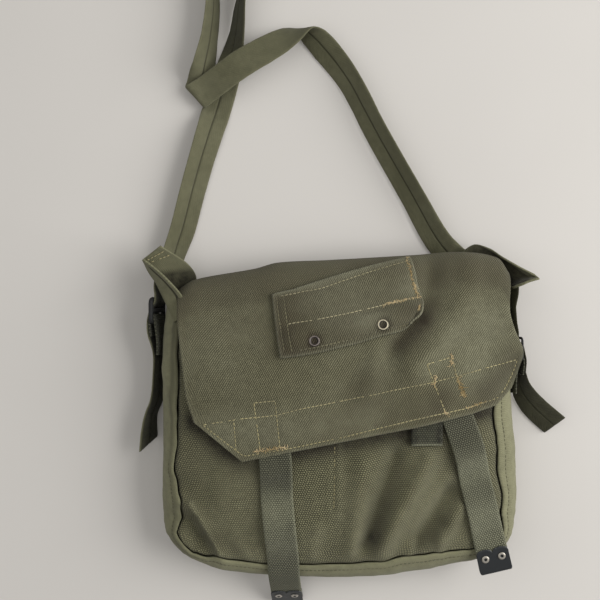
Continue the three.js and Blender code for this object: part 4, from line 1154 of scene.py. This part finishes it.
# Materials
def plug(tree, socket, value):
    """Links a socket to another one, or sets it to a plain value."""
    if isinstance(value, bpy.types.NodeSocket):
        tree.links.new(value, socket)
    else:
        socket.default_value = value


def node(tree, kind, inputs=None, **settings):
    made = tree.nodes.new("ShaderNode" + kind)
    for key, value in settings.items():
        setattr(made, key, value)
    for key, value in (inputs or {}).items():
        plug(tree, made.inputs[key], value)
    return made


def calc(tree, operation, *values):
    return node(tree, "Math", dict(enumerate(values)), operation=operation).outputs[0]


def mixed(tree, factor, a, b, mode="MIX"):
    return node(tree, "Mix", {0: factor, 6: a, 7: b}, data_type="RGBA", blend_type=mode).outputs[2]


def clouds(tree, vector, scale, detail, roughness=0.5):
    inputs = {"Vector": vector, "Scale": scale, "Detail": detail, "Roughness": roughness}
    return node(tree, "TexNoise", inputs).outputs[0]


def ranged(tree, value, low, high):
    """0 where the value is low, and 1 where it is high."""
    return node(tree, "MapRange", {0: value, 1: low, 2: high}).outputs[0]


def marked(tree, mark):
    return node(tree, "Attribute", attribute_name=mark).outputs["Fac"]


def coat(tree, shader, colour, strength, distance, height):
    """Gives a shader its colour and its bumps."""
    bump = node(tree, "Bump", {"Strength": strength, "Distance": distance, "Height": height})
    plug(tree, shader.inputs["Base Color"], colour)
    plug(tree, shader.inputs["Normal"], bump.outputs[0])


def srgb(code):
    """Linear colour from a hex code."""
    parts = [int(code[n:n + 2], 16) / 255 for n in (0, 2, 4)]
    return tuple(c / 12.92 if c <= 0.04045 else ((c + 0.055) / 1.055) ** 2.4 for c in parts) + (1.0,)


def new_material(name, **sockets):
    material = bpy.data.materials.new(name)
    material.use_nodes = True
    tree = material.node_tree
    tree.nodes.clear()
    shader = node(tree, "BsdfPrincipled", {key.replace("_", " "): value for key, value in sockets.items()})
    node(tree, "OutputMaterial", {"Surface": shader.outputs[0]})
    return material, tree, shader


def weave(tree, kind, pitch):
    """Height of the weave, from 0 in the gaps to 1 on the yarns. Its coordinates are metres on the cloth."""
    def times(a, b):
        return calc(tree, "MULTIPLY", a, b)

    def plus(a, b):
        return calc(tree, "ADD", a, b)

    def ridges(run):
        return calc(tree, "ABSOLUTE", calc(tree, "SINE", times(run, math.pi)))

    uv = node(tree, "UVMap", uv_map="UVMap").outputs[0]
    drift = node(tree, "TexNoise", {"Vector": uv, "Scale": 260.0, "Detail": 1.0}).outputs["Color"]
    centred = node(tree, "VectorMath", {0: drift, 1: (0.5, 0.5, 0.5)}, operation="SUBTRACT").outputs[0]
    shift = {0: centred, 1: (2 * YARN_WOBBLE,) * 3, 2: uv}
    moved = node(tree, "VectorMath", shift, operation="MULTIPLY_ADD").outputs[0]
    x, y = node(tree, "SeparateXYZ", {0: moved}).outputs[:2]
    if kind == "twill":
        ridge_run = times(calc(tree, "SUBTRACT", times(x, 0.8), times(y, 0.6)), 1 / pitch)
        step = times(calc(tree, "FLOOR", ridge_run), 0.41)
        cross_run = plus(times(plus(times(x, 0.6), times(y, 0.8)), 0.62 / pitch), step)
        crossed = calc(tree, "MULTIPLY_ADD", ridges(cross_run), 0.4, 0.6)
        return times(ridges(ridge_run), crossed), uv
    row = times(y, 1.25 / pitch)
    half_step = times(calc(tree, "FLOOR", row), 0.5)
    column = plus(times(x, 1 / pitch), half_step)
    return calc(tree, "POWER", times(ridges(row), ridges(column)), 0.8), uv


def cloth_material(name, dark, light, faded_and_lit, grime_and_shade, kind, pitch, depth):
    """Woven cloth: dark gaps, light yarns, faded patches, and the marks of grime and wear, which also carry
    painted shade and painted light.
    """
    material, tree, shader = new_material(
        name, Roughness=0.92, Specular_IOR_Level=0.18, Sheen_Weight=0.08, Sheen_Roughness=0.55)
    yarn, uv = weave(tree, kind, pitch)
    coords = node(tree, "TexCoord").outputs["Object"]
    patch = clouds(tree, coords, 13.0, 4.0, 0.6)
    speckle = clouds(tree, coords, 170.0, 3.0, 0.65)
    fibre = clouds(tree, uv, 2600.0, 2.0)

    def speckled(mark, gain, least, most):
        patchy = calc(tree, "MULTIPLY_ADD", speckle, gain, least)
        return calc(tree, "MINIMUM", calc(tree, "MULTIPLY", marked(tree, mark), patchy), most)

    colour = mixed(tree, yarn, srgb(dark), srgb(light))
    fade = calc(tree, "MULTIPLY", ranged(tree, patch, 0.42, 0.68), 0.38)
    colour = mixed(tree, fade, colour, srgb(faded_and_lit))
    colour = mixed(tree, 1.0, colour, calc(tree, "MULTIPLY_ADD", speckle, 0.5, 0.75), "MULTIPLY")
    colour = mixed(tree, speckled("grime_and_shade", 0.9, 0.35, 0.92), colour, srgb(grime_and_shade))
    colour = mixed(tree, speckled("wear_and_light", 1.0, 0.1, 0.8), colour, srgb(faded_and_lit))
    coat(tree, shader, colour, 0.85, depth, calc(tree, "MULTIPLY_ADD", fibre, 0.35, yarn))
    return material


def thread_material(name, dark, light):
    material, tree, shader = new_material(name, Roughness=0.75, Specular_IOR_Level=0.25, Sheen_Weight=0.3)
    coords = node(tree, "TexCoord").outputs["Object"]
    tone = ranged(tree, clouds(tree, coords, 45.0, 3.0), 0.32, 0.68)
    colour = mixed(tree, tone, srgb(dark), srgb(light))
    coat(tree, shader, colour, 0.6, 0.0002, clouds(tree, coords, 1500.0, 2.0))
    return material


def metal_material(name, paint, bare, rust, rough, bare_share, rust_share, shine=1.0):
    """Paint worn to metal where wear, and on the eyelets a painted highlight, is marked and where noise says,
    with rust beside it.
    """
    material, tree, shader = new_material(name, Specular_IOR_Level=0.5)
    coords = node(tree, "TexCoord").outputs["Object"]
    blotch = clouds(tree, coords, 420.0, 4.0, 0.65)
    rubbed = calc(tree, "MULTIPLY", marked(tree, "wear_and_light"), 0.5)
    worn = calc(tree, "ADD", rubbed, calc(tree, "MULTIPLY", blotch, 0.6))
    worn = ranged(tree, worn, 0.75 - bare_share, 0.9 - bare_share)
    rusty = ranged(tree, clouds(tree, coords, 120.0, 3.0), 0.72 - rust_share, 0.86 - rust_share)
    colour = mixed(tree, rusty, mixed(tree, worn, srgb(paint), srgb(bare)), srgb(rust))
    coat(tree, shader, colour, 0.35, 0.0002, blotch)
    clean = calc(tree, "MULTIPLY_ADD", rusty, -shine, shine)
    plug(tree, shader.inputs["Metallic"], calc(tree, "MULTIPLY", worn, clean))
    plug(tree, shader.inputs["Roughness"], calc(tree, "MULTIPLY_ADD", blotch, 0.35, rough - 0.15))
    return material


# Names and colours: gaps, yarns, faded cloth (also used for painted light), dirty cloth (also used for
# painted shade), then the weave, its pitch and its depth in metres
CLOTHS = [
    ("canvas_twill", "29271a", "747158", "7d7c66", "332b20", "twill", 0.0016, 0.0011),
    ("canvas_pocket", "2a271a", "69654e", "7b7a66", "2b2219", "twill", 0.0016, 0.0011),
    ("canvas_duck", "161407", "868465", "828066", "1f1a10", "duck", 0.0021, 0.0014),
    ("canvas_gusset", "504f3a", "686751", "7d7c62", "1b1810", "twill", 0.0012, 0.0003),
    ("webbing", "181a0e", "80806a", "85866f", "1a1a12", "duck", 0.0021, 0.0014),
    ("strap_canvas", "474834", "605e49", "71705a", "17170f", "twill", 0.0011, 0.0003),
]
TWILL, POCKET_TWILL, DUCK, SMOOTH_CANVAS, WEBBING_CLOTH, STRAP_CLOTH = (
    cloth_material(*row) for row in CLOTHS)
OCHRE = thread_material("thread_ochre", "777050", "a39a70")
PALE_THREAD = thread_material("thread_pale", "716c50", "a09878")
FAINT_THREAD = thread_material("thread_faint", "514d37", "706b4f")
OLIVE_THREAD = thread_material("thread_olive", "403f2b", "5a583f")
FRAYED = thread_material("thread_frayed", "8a7444", "c4b088")
BLACK_PAINT = metal_material("black_paint", "14181b", "6f7172", "4a3324", 0.42, 0.02, 0.0)
WORN_RIVET = metal_material("worn_rivet", "2c2b28", "9f9a91", "4a3324", 0.32, 0.18, -0.1, 0.5)
BRIGHT_EYELET = metal_material("bright_eyelet", "2a251f", "bdb49b", "3b2a1c", 0.4, 0.2, -0.1, 0.4)
DULL_EYELET = metal_material("dull_eyelet", "272020", "766d66", "3b2a1c", 0.45, 0.14, -0.05, 0.4)
BUCKLE_PAINT = metal_material("buckle_paint", "0c0d0e", "33302c", "3a2618", 0.7, -0.05, 0.02)


def dress(piece, material, slot, *nodes):
    piece.data.materials.append(material)
    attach(piece, "root")
    if nodes:
        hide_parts(*nodes)
    return piece


def cloth(piece, material, slot, node_name, held, *rests_on):
    """A piece of cloth: given its material and attached to the root in place of its solid; its places along
    its weave are read from its UVs.
    """
    dress(piece, material, slot, node_name)
    weave_place = np.empty(2 * len(piece.data.loops))
    piece.data.uv_layers[0].data.foreach_get("uv", weave_place)


# The cord first, then the cloth
strap, strap_line = shoulder_strap()
dress(strap, STRAP_CLOTH, "strap_canvas", "shoulder_strap")
STRAP_LENGTH = float(np.linalg.norm(np.diff(strap_line, axis=0), axis=1).sum()) * MM

cloth(back_panel(), DUCK, "canvas", "back_panel", "laid")
cloth(front_panel(), DUCK, "canvas", "front_panel", "stretched", "gusset_cloth")
cloth(gusset(), SMOOTH_CANVAS, "canvas", "gusset", "stretched", "back_cloth")
cloth(flap(), TWILL, "canvas", "flap", "draped", "front_cloth")
cloth(pocket(), POCKET_TWILL, "canvas", "flap_pocket", "laid", "flap_cloth")
for ear_name, ear_form in EARS.items():
    ear_piece = ear_cloth(ear_name.replace("gusset_ear", "ear_cloth"), ear_form)
    cloth(ear_piece, SMOOTH_CANVAS, "canvas", ear_name, "folded", "gusset_cloth")
for (eyelet_name, eyelet_spot), eyelet_look in zip(EYELETS.items(), (DULL_EYELET, BRIGHT_EYELET)):
    dress(eyelet(eyelet_name, eyelet_spot), eyelet_look, "eyelet_metal", eyelet_name)
cloth(closure_tab(), WEBBING_CLOTH, "webbing", "closure_tab", "folded", "front_cloth")
for strap_side, strap_table in CLOSING_STRAPS.items():
    webbing = closing_strap(strap_side, strap_table)
    cloth(webbing, WEBBING_CLOTH, "webbing", f"closing_strap_{strap_side}", "laid", "front_cloth")
    dress(strap_tip(strap_side, strap_table), BLACK_PAINT, "tip_metal", f"strap_tip_{strap_side}")
    for rivet_piece, rivet_node in rivets(strap_side, strap_table):
        dress(rivet_piece, WORN_RIVET, "rivet_metal", rivet_node)
for buckle_side, buckle_place in SIDES.items():
    slide = buckle(f"slide_{buckle_side}", buckle_place)
    dress(slide, BUCKLE_PAINT, "buckle_metal", f"side_buckle_{buckle_side}")
    tab = buckle_tab(f"slide_tab_{buckle_side}", buckle_place)
    cloth(tab, WEBBING_CLOTH, "webbing", f"buckle_tab_{buckle_side}", "folded", "gusset_cloth")

# Stitches and frayed threads
rows = []
for seed, line in enumerate(FLAP_STITCHES):
    rows += stitch_row(*on_heights(flap_z, *fine(line).T, FLAP_CANVAS / 2 + 0.15), seed)
for seed, line in enumerate(FRONT_STITCHES, SEEDS["front"]):
    rows += stitch_row(*on_heights(front_z, *fine(line).T, CANVAS / 2), seed, missing=0.15)
left_ear = EARS["gusset_ear_left"]
tip_u = np.linspace(0.06, 0.44, 40)
for seed, tip_share in enumerate(EAR_STITCHES, SEEDS["ear"]):
    tip_v = np.full(len(tip_u), tip_share)
    line = on_surface(lambda u, v: ear_place(left_ear, u, v), tip_u, tip_v, EAR_CANVAS / 2 + 0.45)
    rows += stitch_row(*line, seed)
dress(joined("stitches_ochre", rows), OCHRE, "canvas")

pocket_rows = [stitch_row(*on_surface(pocket_face, *pocket_line(line), 0.25), seed)
               for seed, line in enumerate(POCKET_LINES, SEEDS["pocket"])]
dress(joined("stitches_pale", sum(pocket_rows[:PALE_LINES], [])), PALE_THREAD, "canvas")
dress(joined("stitches_faint", sum(pocket_rows[PALE_LINES:], [])), FAINT_THREAD, "canvas")

seam_u = np.linspace(0.15, 0.98, 500)
seam_v = np.full(len(seam_u), GUSSET_SEAM)
seam_line = on_surface(gusset_shape, seam_u, seam_v, CANVAS / 2, flip=True)
dress(joined("stitches_gusset", stitch_row(*seam_line, SEEDS["gusset"])), OLIVE_THREAD, "canvas")

rows = []
for seed, line in enumerate(FLAP_FRAYS):
    rows += fray(line, lambda x, y: on_heights(flap_z, x, y, FLAP_CANVAS / 2 + 0.2), seed)
for seed, line in enumerate(POCKET_FRAYS, SEEDS["pocket_fray"]):
    rows += fray(line, lambda u, v: on_surface(pocket_face, u, v, 0.2), seed)
dress(joined("frayed_threads", rows), FRAYED, "canvas")

# Studio: metres, and watts for the lights
floor_mesh = bpy.data.meshes.new("floor")
floor_mesh.from_pydata([(-4, -4, 0), (4, -4, 0), (4, 4, 0), (-4, 4, 0)], [], [(0, 1, 2, 3)])
floor = bpy.data.objects.new("floor", floor_mesh)
bpy.context.scene.collection.objects.link(floor)
floor_look, floor_tree, floor_shader = new_material("floor", Roughness=0.9)
floor_tone = node(floor_tree, "TexNoise", {"Scale": 30.0, "Detail": 3.0}).outputs[0]
floor_colour = mixed(floor_tree, floor_tone, srgb("bdbab6"), srgb("c5c2be"))
plug(floor_tree, floor_shader.inputs["Base Color"], floor_colour)
floor_mesh.materials.append(floor_look)
LIGHT_COLOUR = (1.0, 0.988, 0.965)


def area_light(name, place, target, size, power):
    data = bpy.data.lights.new(name, "AREA")
    data.size = size
    data.energy = power
    data.color = LIGHT_COLOUR
    light = bpy.data.objects.new(name, data)
    light.location = place
    light.rotation_euler = (Vector(target) - Vector(place)).to_track_quat("-Z", "Y").to_euler()
    bpy.context.scene.collection.objects.link(light)


area_light("key", (1.7, 0.3, 1.15), (0, 0.05, 0.03), 1.7, 57)
area_light("fill", (-0.9, 0.3, 1.6), (0, 0.05, 0), 2.2, 11)
world = bpy.data.worlds.new("studio")
world.use_nodes = True
sky = world.node_tree.nodes["Background"].inputs
sky["Color"].default_value = (1.0, 0.99, 0.97, 1.0)
sky["Strength"].default_value = 0.38
bpy.context.scene.world = world
bpy.context.scene.view_settings.view_transform = "Standard"

# The camera looks straight down. FOCAL is the focal length in pixels of a 600 pixel wide image.
EYE = (-0.035, 0.103, 0.8)
FOCAL = 896
camera_data = bpy.data.cameras.new("camera")
camera_data.sensor_width = 36
camera_data.lens = FOCAL / 600 * camera_data.sensor_width
camera = bpy.data.objects.new("camera", camera_data)
camera.location = EYE
bpy.context.scene.collection.objects.link(camera)
bpy.context.scene.camera = camera
